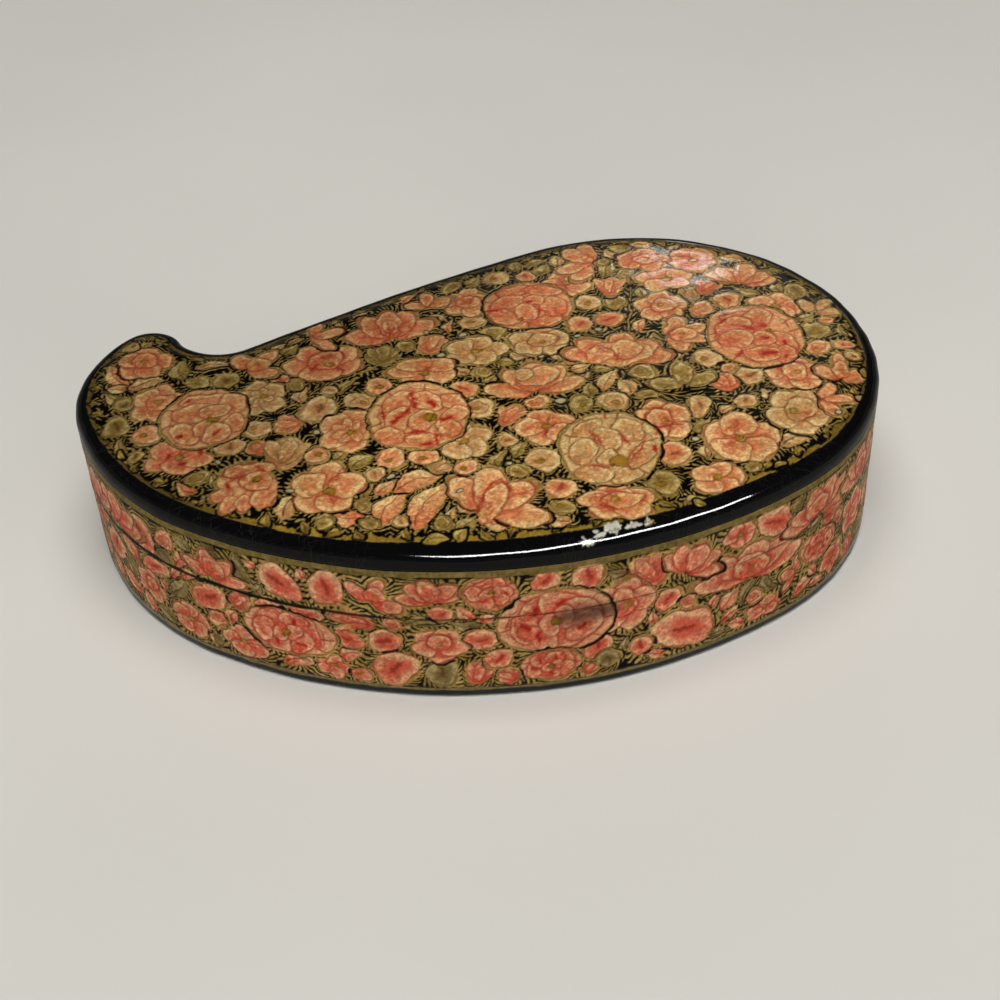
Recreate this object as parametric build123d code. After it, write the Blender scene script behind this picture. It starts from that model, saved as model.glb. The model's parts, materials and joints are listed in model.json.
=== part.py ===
from build123d import *

import os
from math import sqrt

# A lidded papier mache box with a mango-shaped outline. All sizes are in millimetres.
# +X runs along the box towards its round belly, +Y towards the hollow flank, +Z up.
# The origin is under the middle of the outline, on the surface that the box stands on.

# Outline, counter-clockwise from the belly. A lean is measured from +Y towards -X, and a
# sweep is the angle that an arc turns through.
BELLY_RADIUS = 44.5
SHOULDER_LEAN_ANGLE = 4.0
SHOULDER_RADIUS = 49.5
SHOULDER_SWEEP_ANGLE = 20.0
FLANK_RADIUS = 435.0
NOTCH_RADIUS = 9.4
TIP_REACH = 93.8
TIP_RISE = 11.6
TIP_RADIUS = 6.7
TIP_LEAN_ANGLE = 48.5
TAIL_RADIUS = 26.6
TAIL_SWEEP_ANGLE = 59.5
HEEL_RADIUS = 55.3
FRONT_RADIUS = 97.3

# Heights above the standing surface, and thicknesses of the boards, walls and collar.
HEIGHT = 33.5
SEAM_HEIGHT = 18.7
LID_BOARD = 4.1
FLOOR_BOARD = 2.6
WALL = 3.0
COLLAR = 1.6
COLLAR_PROUD = 5.0
COLLAR_CLEARANCE = 0.3

# Edges. The lid board swells gently from its rolled edge to its flat middle.
ROLL_RADIUS = 3.0
SWELL_WIDTH = 5.0
SWELL_DROP = 0.5
FOOT_ROUNDING = 0.8
SEAM_ROUNDING = 0.4
COLLAR_ROUNDING = 0.5

# Two heights closer than this count as one.
SAME_LEVEL = 0.001


def leaning(centre, distance, lean):
    """The point at a distance from a centre, in a direction leaning from +Y towards -X."""
    return centre + Vector(0, distance).rotate(Axis.Z, lean)


def carried_on(circle, lean, radius):
    """The circle that takes over from another where the other's rim leans this way."""
    centre, old_radius = circle
    return leaning(centre, old_radius - radius, lean), radius


def bridging(first, radius, second):
    """The circle of this radius that touches two others, right of the line between them.

    A hollow arc has a negative radius here and below.
    """
    line = second[0] - first[0]
    first_reach = abs(first[1] - radius)
    second_reach = abs(second[1] - radius)
    along = (first_reach**2 - second_reach**2 + line.length**2) / (2 * line.length)
    across = sqrt(first_reach**2 - along**2)
    forward = line.normalized()
    return first[0] + forward * along + forward.rotate(Axis.Z, -90) * across, radius


def outline_circles():
    """The circles that the outline's arcs lie on, in order."""
    belly = Vector(0, 0), BELLY_RADIUS
    shoulder = carried_on(belly, SHOULDER_LEAN_ANGLE, SHOULDER_RADIUS)
    shoulder_end = SHOULDER_LEAN_ANGLE + SHOULDER_SWEEP_ANGLE
    flank = carried_on(shoulder, shoulder_end, FLANK_RADIUS)
    tip = Vector(-TIP_REACH, TIP_RISE), TIP_RADIUS
    notch = bridging(flank, -NOTCH_RADIUS, tip)
    tail = carried_on(tip, TIP_LEAN_ANGLE, TAIL_RADIUS)
    heel = carried_on(tail, TIP_LEAN_ANGLE + TAIL_SWEEP_ANGLE, HEEL_RADIUS)
    front = bridging(belly, FRONT_RADIUS, heel)
    return [belly, shoulder, flank, notch, tip, tail, heel, front]


def meeting(first, second):
    """The point where two touching circles meet."""
    return first[0] + (second[0] - first[0]) * (first[1] / (first[1] - second[1]))


def outline():
    """The outline as a face on the ground, centred on the origin."""
    circles = outline_circles()
    ends = [meeting(a, b) for a, b in zip(circles, circles[1:] + circles[:1])]
    arcs = []
    for index, (centre, radius) in enumerate(circles):
        start, end = ends[index - 1], ends[index]
        halfway = (start + end) * 0.5 - centre
        middle = centre + halfway.normalized() * abs(radius)
        arcs.append(ThreePointArc(start, middle, end))
    face = make_face(arcs)
    offset_from_origin = face.bounding_box().center()
    return Pos(-offset_from_origin.X, -offset_from_origin.Y) * face


def slab(inset, bottom, top):
    """A solid with the outline drawn in by an inset, between two heights."""
    face = offset(outline(), -inset) if inset else outline()
    return Pos(0, 0, bottom) * extrude(face, top - bottom)


def edges_at(solid, height):
    """The edges of a solid that lie at one height."""
    low, high = height - SAME_LEVEL, height + SAME_LEVEL
    return solid.edges().filter_by_position(Axis.Z, low, high)


def base_floor():
    """The bottom board, with its lower edge rounded."""
    board = slab(0, 0, FLOOR_BOARD)
    return fillet(edges_at(board, 0), FOOT_ROUNDING)


def base_wall():
    """The ring that stands on the bottom board, up to the seam."""
    ring = slab(0, FLOOR_BOARD, SEAM_HEIGHT) - slab(WALL, FLOOR_BOARD, SEAM_HEIGHT)
    seam_face = ring.faces().sort_by(Axis.Z)[-1]
    return fillet(seam_face.outer_wire().edges(), SEAM_ROUNDING)


def collar():
    """The thin ring glued inside the base, standing proud of the seam to hold the lid."""
    top = SEAM_HEIGHT + COLLAR_PROUD
    ring = slab(WALL, FLOOR_BOARD, top) - slab(WALL + COLLAR, FLOOR_BOARD, top)
    return fillet(edges_at(ring, top), COLLAR_ROUNDING)


def lid_wall():
    """The ring under the lid board, with a running gap round the collar."""
    top = HEIGHT - LID_BOARD
    inner = WALL - COLLAR_CLEARANCE
    ring = slab(0, SEAM_HEIGHT, top) - slab(inner, SEAM_HEIGHT, top)
    seam_face = ring.faces().sort_by(Axis.Z)[0]
    return fillet(seam_face.outer_wire().edges(), SEAM_ROUNDING)


def lid_top():
    """The top board, swelling from its rolled edge to its flat middle."""
    board = slab(0, HEIGHT - LID_BOARD, HEIGHT)
    top = board.faces().sort_by(Axis.Z)[-1]
    board = chamfer(top.edges(), SWELL_WIDTH, SWELL_DROP, reference=top)
    return fillet(edges_at(board, HEIGHT - SWELL_DROP), ROLL_RADIUS)


PARTS = {
    "base_floor": base_floor,
    "base_wall": base_wall,
    "collar": collar,
    "lid_wall": lid_wall,
    "lid_top": lid_top,
}

os.makedirs("parts", exist_ok=True)
for name, build in PARTS.items():
    export_step(build(), f"parts/{name}.step")
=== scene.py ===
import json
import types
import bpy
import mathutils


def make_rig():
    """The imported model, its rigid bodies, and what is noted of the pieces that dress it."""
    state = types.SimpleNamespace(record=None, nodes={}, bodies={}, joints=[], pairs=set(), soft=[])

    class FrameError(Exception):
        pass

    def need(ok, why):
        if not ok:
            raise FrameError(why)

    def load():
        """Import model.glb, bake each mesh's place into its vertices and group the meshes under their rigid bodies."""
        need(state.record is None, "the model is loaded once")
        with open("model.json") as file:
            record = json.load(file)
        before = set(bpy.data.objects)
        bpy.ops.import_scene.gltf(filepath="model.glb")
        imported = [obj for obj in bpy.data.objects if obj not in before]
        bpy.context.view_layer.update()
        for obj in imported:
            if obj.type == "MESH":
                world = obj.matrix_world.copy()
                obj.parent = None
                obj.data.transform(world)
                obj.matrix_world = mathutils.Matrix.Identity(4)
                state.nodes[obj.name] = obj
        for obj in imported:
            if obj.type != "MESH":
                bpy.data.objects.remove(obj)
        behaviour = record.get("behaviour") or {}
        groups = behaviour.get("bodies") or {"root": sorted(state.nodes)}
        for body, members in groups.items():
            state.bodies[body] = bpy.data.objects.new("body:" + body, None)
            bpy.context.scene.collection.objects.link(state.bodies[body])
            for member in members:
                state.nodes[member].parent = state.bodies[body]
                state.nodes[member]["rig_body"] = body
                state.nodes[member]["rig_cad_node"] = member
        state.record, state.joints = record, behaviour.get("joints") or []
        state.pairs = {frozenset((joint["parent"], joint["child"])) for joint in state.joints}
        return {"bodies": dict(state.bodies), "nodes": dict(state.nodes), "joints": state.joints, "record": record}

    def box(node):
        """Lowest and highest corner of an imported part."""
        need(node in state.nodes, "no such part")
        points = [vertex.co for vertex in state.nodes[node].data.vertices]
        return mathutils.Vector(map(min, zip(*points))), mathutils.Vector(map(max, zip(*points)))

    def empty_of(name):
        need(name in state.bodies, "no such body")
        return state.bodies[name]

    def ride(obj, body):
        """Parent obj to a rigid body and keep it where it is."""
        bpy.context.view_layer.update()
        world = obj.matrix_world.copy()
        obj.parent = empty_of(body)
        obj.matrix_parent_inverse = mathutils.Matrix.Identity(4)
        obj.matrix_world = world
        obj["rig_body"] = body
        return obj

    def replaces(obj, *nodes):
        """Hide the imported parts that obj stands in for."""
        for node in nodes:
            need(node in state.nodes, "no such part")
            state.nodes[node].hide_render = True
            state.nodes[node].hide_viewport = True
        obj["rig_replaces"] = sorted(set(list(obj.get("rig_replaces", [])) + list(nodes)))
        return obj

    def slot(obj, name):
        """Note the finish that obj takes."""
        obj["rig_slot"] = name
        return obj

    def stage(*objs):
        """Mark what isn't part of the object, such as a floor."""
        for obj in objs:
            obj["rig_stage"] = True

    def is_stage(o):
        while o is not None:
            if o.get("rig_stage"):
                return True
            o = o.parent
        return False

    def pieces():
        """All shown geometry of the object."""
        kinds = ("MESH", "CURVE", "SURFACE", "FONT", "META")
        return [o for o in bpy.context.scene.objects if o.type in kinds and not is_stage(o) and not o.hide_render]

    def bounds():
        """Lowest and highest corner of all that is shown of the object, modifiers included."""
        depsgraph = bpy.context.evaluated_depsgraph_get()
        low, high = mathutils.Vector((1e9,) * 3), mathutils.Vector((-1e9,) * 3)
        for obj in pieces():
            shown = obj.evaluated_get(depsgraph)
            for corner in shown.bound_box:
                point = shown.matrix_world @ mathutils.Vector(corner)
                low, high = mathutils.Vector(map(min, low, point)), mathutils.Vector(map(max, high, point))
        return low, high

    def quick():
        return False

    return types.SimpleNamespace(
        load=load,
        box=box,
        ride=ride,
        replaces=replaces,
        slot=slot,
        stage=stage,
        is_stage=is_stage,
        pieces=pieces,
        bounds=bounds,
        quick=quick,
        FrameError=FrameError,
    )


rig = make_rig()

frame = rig.load()
CAD_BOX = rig.bounds()

import json
from collections import namedtuple
from math import ceil, pi, radians

import bpy
import numpy as np
from bpy.props import FloatProperty, FloatVectorProperty, IntProperty, PointerProperty
from bpy.types import Operator, Panel, PropertyGroup
from mathutils import Matrix, Vector
from mathutils.geometry import delaunay_2d_cdt

bl_info = {
    "name": "Painted papier mache box",
    "version": (1, 0, 0),
    "blender": (4, 5, 0),
    "location": "View3D > Sidebar > Box",
    "description": "Builds the painted and lacquered shells of a mango-shaped lidded box",
    "category": "Object",
}

# Painting is worked out in millimetres, and meshes are in metres.
MM = 0.001
SIZE_FILE = "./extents.json"

# Heights in millimetres, from the fixed frame.
FLOOR_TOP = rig.box("base_floor")[1].z / MM
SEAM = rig.box("base_wall")[1].z / MM
BOARD_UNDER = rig.box("lid_top")[0].z / MM
LID_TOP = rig.box("lid_top")[1].z / MM


def number(name, value, description, **extra):
    """A number that is no length, angle or share."""
    return FloatProperty(name=name, description=description, default=value, **extra)


def length(name, millimetres, description):
    """A length property, given in millimetres and held in metres."""
    return number(name, millimetres * MM, description, subtype="DISTANCE", precision=5)


def angle(name, degrees, description):
    """An angle property, given in degrees and held in radians."""
    return number(name, radians(degrees), description, subtype="ANGLE")


def share(name, value, description):
    """A property that runs from nothing to all."""
    return number(name, value, description, min=0, max=1, subtype="FACTOR")


def paint(name, shown, description):
    """A paint colour, given as it shows on a screen, from 0 to 255."""
    default = [value / 255 for value in shown]
    return FloatVectorProperty(
        name=name, description=description, default=default, size=3, min=0, max=1, subtype="COLOR_GAMMA"
    )


class OutlineSizes(PropertyGroup):
    """The radii and angles of the outline, counter-clockwise from the belly."""

    belly: length("Belly radius", 44.5, "Radius of the round end")
    shoulder_lean: angle("Shoulder lean", 4, "Where the belly hands over to the shoulder")
    shoulder: length("Shoulder radius", 49.5, "Radius behind the belly")
    shoulder_sweep: angle("Shoulder sweep", 20, "Angle that the shoulder turns through")
    flank: length("Flank radius", 435, "Radius of the long back flank")
    notch: length("Notch radius", 9.4, "Radius of the hollow beside the tip")
    tip_reach: length("Tip reach", 93.8, "Distance from the belly's centre back to the tip's")
    tip_rise: length("Tip rise", 11.6, "How far the tip's centre lies behind the belly's")
    tip: length("Tip radius", 6.7, "Radius of the curled tip")
    tip_lean: angle("Tip lean", 48.5, "Where the tip hands over to the tail")
    tail: length("Tail radius", 26.6, "Radius of the outer side of the tail")
    tail_sweep: angle("Tail sweep", 59.5, "Angle that the tail turns through")
    heel: length("Heel radius", 55.3, "Radius between the tail and the front")
    front: length("Front radius", 97.3, "Radius of the long front")


class ShellSizes(PropertyGroup):
    """The section of the shells and how fine their meshes are."""

    wall: length("Wall", 3.0, "Thickness of the base's wall")
    lid_wall: length("Lid wall", 2.7, "Thickness of the lid's wall, which clears the collar")
    roll: length("Rolled rim", 3.0, "Radius of the rolled black rim")
    squareness: number("Squareness", 2.6, "2 for a round rim, more for a squarer one")
    swell: length("Swell", 0.5, "How far the lid rises just inside its rim")
    crown: length("Crown", 0.8, "How far the middle of the lid stands above that")
    foot: length("Foot rounding", 0.8, "Rounding of the bottom edge")
    seam: length("Seam rounding", 0.04, "Rounding of the two edges that meet at the seam")
    collar_gap: length("Collar inset", 3.0, "How far the collar's outer face lies inside the outline")
    collar: length("Collar", 1.6, "Thickness of the collar")
    unevenness: length("Unevenness", 0.09, "How far the hand-laid walls wander")
    relief: length("Paint relief", 0.03, "How far the painted petals stand proud")
    mesh: length("Mesh spacing", 0.18, "Distance between the points that carry the painting")
    cell: length("Painting cell", 0.09, "Size of one cell of the painting")


class PaintSizes(PropertyGroup):
    """Widths of the painted bands and strokes."""

    black: length("Black on the lid", 2.45, "How far the black reaches in from the edge")
    front_black: length("More at the front", 0.95, "How much further the black reaches in at the front")
    border: length("Lid border", 1.15, "Width of the ochre line inside the black")
    upper_band: length("Upper band", 1.4, "Width of the ochre line under the rim")
    foot_black: length("Black at the foot", 1.6, "Height of the black line at the foot")
    lower_band: length("Lower band", 0.7, "Width of the ochre line above the foot")
    gap: length("Gap", 0.5, "Least black left between two motifs")
    hatch: length("Hatch spacing", 0.9, "Distance between the fine filling strokes")
    hatch_reach: length("Hatch length", 1.7, "Length of the fine filling strokes")
    seed: IntProperty(name="Seed", description="Changes the small filling motifs", default=7)


class PaintColours(PropertyGroup):
    """The paints."""

    ground: paint("Ground", (9, 7, 3), "Black ground under the flowers")
    rim: paint("Rim", (8, 8, 9), "Black of the rim and the foot")
    ground_coat: paint("Ground coat", (222, 216, 198), "White ground coat, seen in chips")
    hatch: paint("Hatch", (208, 180, 116), "Fine filling strokes")
    ochre: paint("Ochre", (150, 122, 46), "Borders")
    outline: paint("Outline", (146, 116, 46), "Line round each motif")
    dot: paint("Dots", (198, 190, 158), "Small pale dots")
    heart_gold: paint("Gold heart", (156, 116, 38), "Middle of a flower")
    red: paint("Red", (192, 44, 30), "Veins and accents")
    stem: paint("Stem", (172, 140, 78), "Thin stems")
    varnish_tint: paint("Varnish tint", (255, 248, 228), "How the old varnish yellows the paint")


# The looks of petals and leaves: their colour at the base, in the body and at the edge.
LOOK_PAINTS = {
    "peach": ((200, 110, 74), (210, 150, 106), (218, 186, 138)),
    "coral": ((204, 100, 70), (206, 134, 94), (216, 172, 126)),
    "cream": ((190, 134, 88), (200, 160, 112), (212, 188, 142)),
    "olive": ((134, 108, 52), (166, 140, 80), (192, 172, 118)),
    "ochre": ((126, 100, 36), (156, 130, 58), (178, 154, 84)),
    "side": ((202, 82, 66), (210, 138, 114), (216, 174, 142)),
    "moss": ((120, 102, 62), (146, 130, 90), (176, 160, 120)),
}
PETAL_PARTS = ("heart", "body", "edge")
for _look, _paints in LOOK_PAINTS.items():
    for _part, _shown in zip(PETAL_PARTS, _paints):
        PaintColours.__annotations__[f"{_look}_{_part}"] = paint(
            f"{_look} {_part}".capitalize(), _shown, f"Colour of the {_part} of {_look} petals"
        )


def settings(name):
    """One of the property groups of this box."""
    return getattr(bpy.context.scene, "box_" + name)


def paint_called(name):
    """One of the paint colours."""
    return np.array(getattr(settings("colours"), name))


def in_mm(name, field):
    """A length of one of the property groups, in millimetres."""
    return getattr(settings(name), field) / MM


# The outline, on a plane of complex numbers in millimetres, with +X real and +Y imaginary.

Arc = namedtuple("Arc", "centre radius start sweep begins")


def leaning(centre, distance, lean):
    """The point at a distance from a centre, in a direction leaning from +Y towards -X."""
    return centre + distance * 1j * np.exp(1j * lean)


def carried_on(circle, lean, radius):
    """The circle that takes over from another where the other's rim leans this way."""
    centre, old_radius = circle
    return leaning(centre, old_radius - radius, lean), radius


def bridging(first, radius, second):
    """The circle of this radius that touches two others. A hollow arc has a negative radius."""
    line = second[0] - first[0]
    first_reach = abs(first[1] - radius)
    second_reach = abs(second[1] - radius)
    along = (first_reach**2 - second_reach**2 + abs(line) ** 2) / (2 * abs(line))
    across = np.sqrt(first_reach**2 - along**2)
    return first[0] + line / abs(line) * (along - 1j * across), radius


def outline_circles():
    """The circles that the outline's arcs lie on, from the front round to the heel."""
    sizes = settings("outline")
    belly = 0j, sizes.belly / MM
    shoulder = carried_on(belly, sizes.shoulder_lean, sizes.shoulder / MM)
    flank = carried_on(shoulder, sizes.shoulder_lean + sizes.shoulder_sweep, sizes.flank / MM)
    tip = complex(-sizes.tip_reach, sizes.tip_rise) / MM, sizes.tip / MM
    notch = bridging(flank, -sizes.notch / MM, tip)
    tail = carried_on(tip, sizes.tip_lean, sizes.tail / MM)
    heel = carried_on(tail, sizes.tip_lean + sizes.tail_sweep, sizes.heel / MM)
    front = bridging(belly, sizes.front / MM, heel)
    return [front, belly, shoulder, flank, notch, tip, tail, heel]


class Outline:
    """The closed outline as a chain of arcs, measured along from where the front begins."""

    def __init__(self):
        circles = outline_circles()
        pairs = zip(circles, circles[1:] + circles[:1])
        ends = [a[0] + (b[0] - a[0]) * a[1] / (a[1] - b[1]) for a, b in pairs]
        self.arcs, begins = [], 0.0
        for index, (centre, radius) in enumerate(circles):
            start = np.angle(ends[index - 1] - centre)
            sweep = np.angle((ends[index] - centre) / (ends[index - 1] - centre))
            if radius > 0:
                sweep %= 2 * pi
            self.arcs.append(Arc(centre, radius, start, sweep, begins))
            begins += abs(radius * sweep)
        self.length = begins
        points = self.at(np.linspace(0, self.length, 4001))[0]
        sides = [part.max() + part.min() for part in (points.real, points.imag)]
        middle = complex(sides[0] / 2, sides[1] / 2)
        self.arcs = [arc._replace(centre=arc.centre - middle) for arc in self.arcs]
        self.half = complex(np.ptp(points.real) / 2, np.ptp(points.imag) / 2)

    def at(self, along):
        """The points at these lengths along the outline, and the directions that point outwards."""
        along = np.asarray(along, float) % self.length
        points = np.zeros(along.shape, complex)
        outward = np.zeros(along.shape, complex)
        for arc in self.arcs:
            here = along >= arc.begins
            turn = np.exp(1j * (arc.start + (along[here] - arc.begins) / arc.radius))
            points[here] = arc.centre + abs(arc.radius) * turn
            outward[here] = turn * np.sign(arc.radius)
        return points, outward

    def inset(self, x, y):
        """How far inside the outline these places are."""
        best = np.full(np.broadcast(x, y).shape, 1e3)
        for arc in self.arcs:
            away = (x - arc.centre.real) + 1j * (y - arc.centre.imag)
            turned = np.angle(away * np.exp(-1j * (arc.start + arc.sweep / 2)))
            facing = np.abs(turned) <= abs(arc.sweep) / 2 + 1e-6
            depth = (abs(arc.radius) - np.abs(away)) * np.sign(arc.radius)
            closer = facing & (np.abs(depth) < np.abs(best))
            best = np.where(closer, depth, best)
        return best


# Painting. A ground is a sheet of small square cells that the motifs are laid on.

# Farther than this from any motif counts as this far, and motifs are felt this far outside.
FAR = 9.0
REACH = 3.2
# How wide the bends in hand-drawn lines are, and how far they lead off.
HAND_BENDS = ((2.6, 0.34), (1.0, 0.17), (0.45, 0.08))
Look = namedtuple("Look", "heart body edge line outline")


def ease(low, high, value):
    """A smooth rise from 0 to 1 between two values."""
    t = np.clip((value - low) / (high - low), 0, 1)
    return t * t * (3 - 2 * t)


def mixed(first, second, amount):
    """Two paints mixed by an amount that may change from cell to cell."""
    amount = np.asarray(amount)[..., None]
    return first + (second - first) * amount


def cloud(random, shape, step):
    """Smooth random unevenness from 0 to 1, with lumps this many cells across."""
    rows, columns = ceil(shape[0] / step) + 2, ceil(shape[1] / step) + 2
    lumps = random.random((rows, columns)).astype(np.float32)
    v, u = np.arange(shape[0]) / step, np.arange(shape[1]) / step
    i, j = v.astype(int), u.astype(int)
    a, b = ease(0, 1, v - i)[:, None], ease(0, 1, u - j)[None, :]
    upper = lumps[np.ix_(i, j)] * (1 - b) + lumps[np.ix_(i, j + 1)] * b
    lower = lumps[np.ix_(i + 1, j)] * (1 - b) + lumps[np.ix_(i + 1, j + 1)] * b
    return upper * (1 - a) + lower * a


class Ground:
    """A sheet of cells with a colour, a relief and the distance to the nearest motif."""

    def __init__(self, low, high, looks, seed):
        self.cell = in_mm("shell", "cell") * (2 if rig.quick() else 1)
        self.x = np.arange(low[0], high[0], self.cell)
        self.y = np.arange(low[1], high[1], self.cell)
        shape = (len(self.y), len(self.x))
        self.random = np.random.default_rng(seed)
        self.black = paint_called("ground")
        self.colour = np.ones(shape + (3,)) * self.black
        self.relief = np.zeros(shape, np.float32)
        self.near = np.full(shape, FAR, np.float32)
        self.arc = np.zeros(shape, np.float32)
        self.comb = np.zeros(shape, np.float32)
        self.hand = cloud(self.random, shape, 1.1 / self.cell)
        self.grit = cloud(self.random, shape, 0.38 / self.cell)
        self.looks = looks

    def around(self, x, y, reach):
        """The cells within reach of a point, and where they lie from it."""
        left, right = np.searchsorted(self.x, (x - reach, x + reach))
        low, high = np.searchsorted(self.y, (y - reach, y + reach))
        return np.s_[low:high, left:right], self.x[None, left:right] - x, self.y[low:high, None] - y

    def cover(self, part, depth, colour, strength=1.0, soft=0.0):
        """Lays a colour where the depth outside a shape's edge is negative."""
        amount = np.clip(0.5 - depth / (self.cell + soft), 0, 1) * strength
        self.colour[part] += amount[..., None] * (colour - self.colour[part])

    def ink(self, part, depth, width, colour):
        """A hand-drawn line along the edge of a shape, now thick and now thin."""
        hand, grit = self.hand[part], self.grit[part]
        line = np.abs(depth + 0.12 * (grit - 0.5)) - width * (0.25 + 1.2 * hand)
        self.cover(part, line, colour, 0.35 + 0.6 * grit, 0.06)

    def claim(self, part, depth, arc, comb):
        """Notes which cells a shape is nearest to, how far round it they lie, and its own number."""
        near = self.near[part]
        closer = depth < near
        near[closer] = depth[closer]
        self.arc[part][closer] = arc[closer]
        self.comb[part][closer] = comb

    def backing(self, part, depth, x, y, look, size, width=0.44):
        """The black and the ochre line behind a motif, whose cells are kept for it."""
        self.claim(part, depth, np.arctan2(y, x) * np.ones_like(depth) * size, self.random.random())
        inside = depth < 0
        self.relief[part][inside] = np.clip(-depth[inside] / 0.4, 0, 1)
        hand, grit = self.hand[part], self.grit[part]
        lean = np.cos(np.arctan2(y, x) - self.random.uniform(0, 2 * pi))
        self.cover(part, depth - 0.46 - 0.4 * hand, self.black)
        line = mixed(look.outline * 0.86, look.edge * 0.9, 0.7 * grit + 0.2 * hand)
        self.cover(part, depth - width * (0.7 + 0.6 * lean) * (0.5 + hand), line, 1, 0.08)

    def mark(self, x, y, long, wide, turn, colour, strength=0.8):
        """A blot of colour with an uneven edge."""
        part, u, v = self.around(x, y, 1.4 * long + 0.4)
        p, q = turned(u, v, turn)
        depth = oval(p, q, long, wide, self.random, 0, 0.1) + 0.7 * wide * (self.grit[part] - 0.4)
        self.cover(part, depth, colour, strength, 0.25)

    def redrawn(self):
        """Bends the whole painting a little, so that no line stays as even as a machine's."""
        shape, random = self.near.shape, self.random
        i, j = np.arange(shape[0])[:, None] + 0.0, np.arange(shape[1])[None, :] + 0.0
        for lumps, amount in HAND_BENDS:
            i = i + (cloud(random, shape, lumps / self.cell) - 0.5) * 2 * amount / self.cell
            j = j + (cloud(random, shape, lumps / self.cell) - 0.5) * 2 * amount / self.cell
        i, j = np.clip(i, 0, shape[0] - 1.001), np.clip(j, 0, shape[1] - 1.001)
        row, column = i.astype(int), j.astype(int)
        corners = [np.s_[row + a, column + b] for a in (0, 1) for b in (0, 1)]
        alike = np.ptp([self.comb[corner] for corner in corners], axis=0) == 0
        alike &= np.ptp([self.arc[corner] for corner in corners], axis=0) < 1
        nearest = np.s_[np.rint(i).astype(int), np.rint(j).astype(int)]
        plain_arc, self.comb = self.arc[nearest], self.comb[nearest]
        for name in ("arc", "near", "relief", "colour"):
            setattr(self, name, blended(getattr(self, name), row, column, i - row, j - column))
        self.arc = np.where(alike, self.arc, plain_arc)

    def sampled(self, x, y):
        """The colour and the relief at these places."""
        u = np.clip((x - self.x[0]) / self.cell, 0, len(self.x) - 1.001)
        v = np.clip((y - self.y[0]) / self.cell, 0, len(self.y) - 1.001)
        row, column = v.astype(int), u.astype(int)
        place = row, column, v - row, u - column
        return blended(softened(self.colour), *place), blended(self.relief, *place)


def blended(values, row, column, down, across):
    """Values read between four cells."""
    if values.ndim == 3:
        down, across = down[..., None], across[..., None]
    upper = values[row, column] * (1 - across) + values[row, column + 1] * across
    lower = values[row + 1, column] * (1 - across) + values[row + 1, column + 1] * across
    return upper * (1 - down) + lower * down


def turned(x, y, turn):
    """Places seen along a direction, as the distances along and across it."""
    c, s = np.cos(turn), np.sin(turn)
    return x * c + y * s, y * c - x * s


def oval(p, q, half_length, half_width, random, blunt=0.0, wobble=0.05):
    """Depth outside the edge of a hand-drawn oval round the origin, blunt towards +p."""
    away, a = np.hypot(p, q), np.arctan2(q, p)
    reach = 1 / np.sqrt((np.cos(a) / half_length) ** 2 + (np.sin(a) / half_width) ** 2)
    phase = random.uniform(0, 2 * pi, 3)
    waves = np.sin(2 * a + phase[0]) + np.sin(3 * a + phase[1]) + 0.6 * np.sin(5 * a + phase[2])
    reach = reach * (1 + blunt * np.cos(a)) * (1 + wobble * waves)
    return (away - reach) * min(1.0, 1.6 * half_width / half_length)


def petal(ground, part, p, q, size, look, line=0.13, blush=0.7, blunt=0.12):
    """A petal with its base at the origin and its tip towards +p."""
    long, wide = size
    random = ground.random
    hand, grit = ground.hand[part], ground.grit[part]
    depth = oval(p - 0.5 * long, q, 0.5 * long, 0.5 * wide, random, blunt)
    shade = ease(0.85, 0, depth) * (ground.near[part] < -0.1) * (0.25 + 0.5 * hand)
    ground.cover(part, depth - 0.9, look.heart * 0.94, shade)
    loose = depth + 0.5 * (hand - 0.5) + 0.35 * (grit - 0.5)
    colour = mixed(look.body, look.edge, ease(-0.28 * wide, -0.05 * wide, loose))
    along = p / long + 0.5 * (hand - 0.5) + 0.25 * (grit - 0.5)
    colour = mixed(colour, look.heart, blush * ease(0.62, 0.0, along))
    side = random.uniform(-0.25, 0.25) * wide
    core = np.hypot((p - random.uniform(0.35, 0.65) * long) / long, (q - side) / wide)
    colour = mixed(colour, look.heart, blush * 0.8 * ease(0.34, 0.05, core + 0.3 * (hand - 0.5)))
    streaks = np.sin(q / wide * random.uniform(14, 22) + 3 * hand + random.uniform(0, 6))
    colour = colour * (1 + 0.05 * streaks * ease(0.9, 0.1, along))[..., None]
    colour = colour * (0.86 + 0.28 * grit)[..., None]
    ground.cover(part, depth, colour, 1, 0.06)
    ground.ink(part, depth, line, look.line)


def heart(ground, x, y, size, kind):
    """The middle of a flower: a gold dot, a ring or a loose blot."""
    gold, random = paint_called("heart_gold"), ground.random
    part, u, v = ground.around(x, y, size + 1)
    depth = oval(u, v, size, size * random.uniform(0.75, 1), random, 0, 0.08)
    if kind == "ring":
        ground.cover(part, np.abs(depth + 0.3 * size) - 0.26 * size, gold * 0.9, 0.9, 0.1)
        return
    ground.cover(part, depth, gold, 0.95, 0.12)
    ground.ink(part, depth, 0.08, gold * 0.55)
    ground.cover(part, depth + 0.5 * size, gold * 1.14, 0.5, 0.2)
    for _ in range(5 if kind == "blot" else 1):
        turn, far = random.uniform(0, 2 * pi), random.uniform(0.4, 1.2) * size
        place = x + far * np.cos(turn), y + far * np.sin(turn)
        ground.mark(*place, 0.3 * size, 0.2 * size, turn, gold * 0.6)


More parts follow.
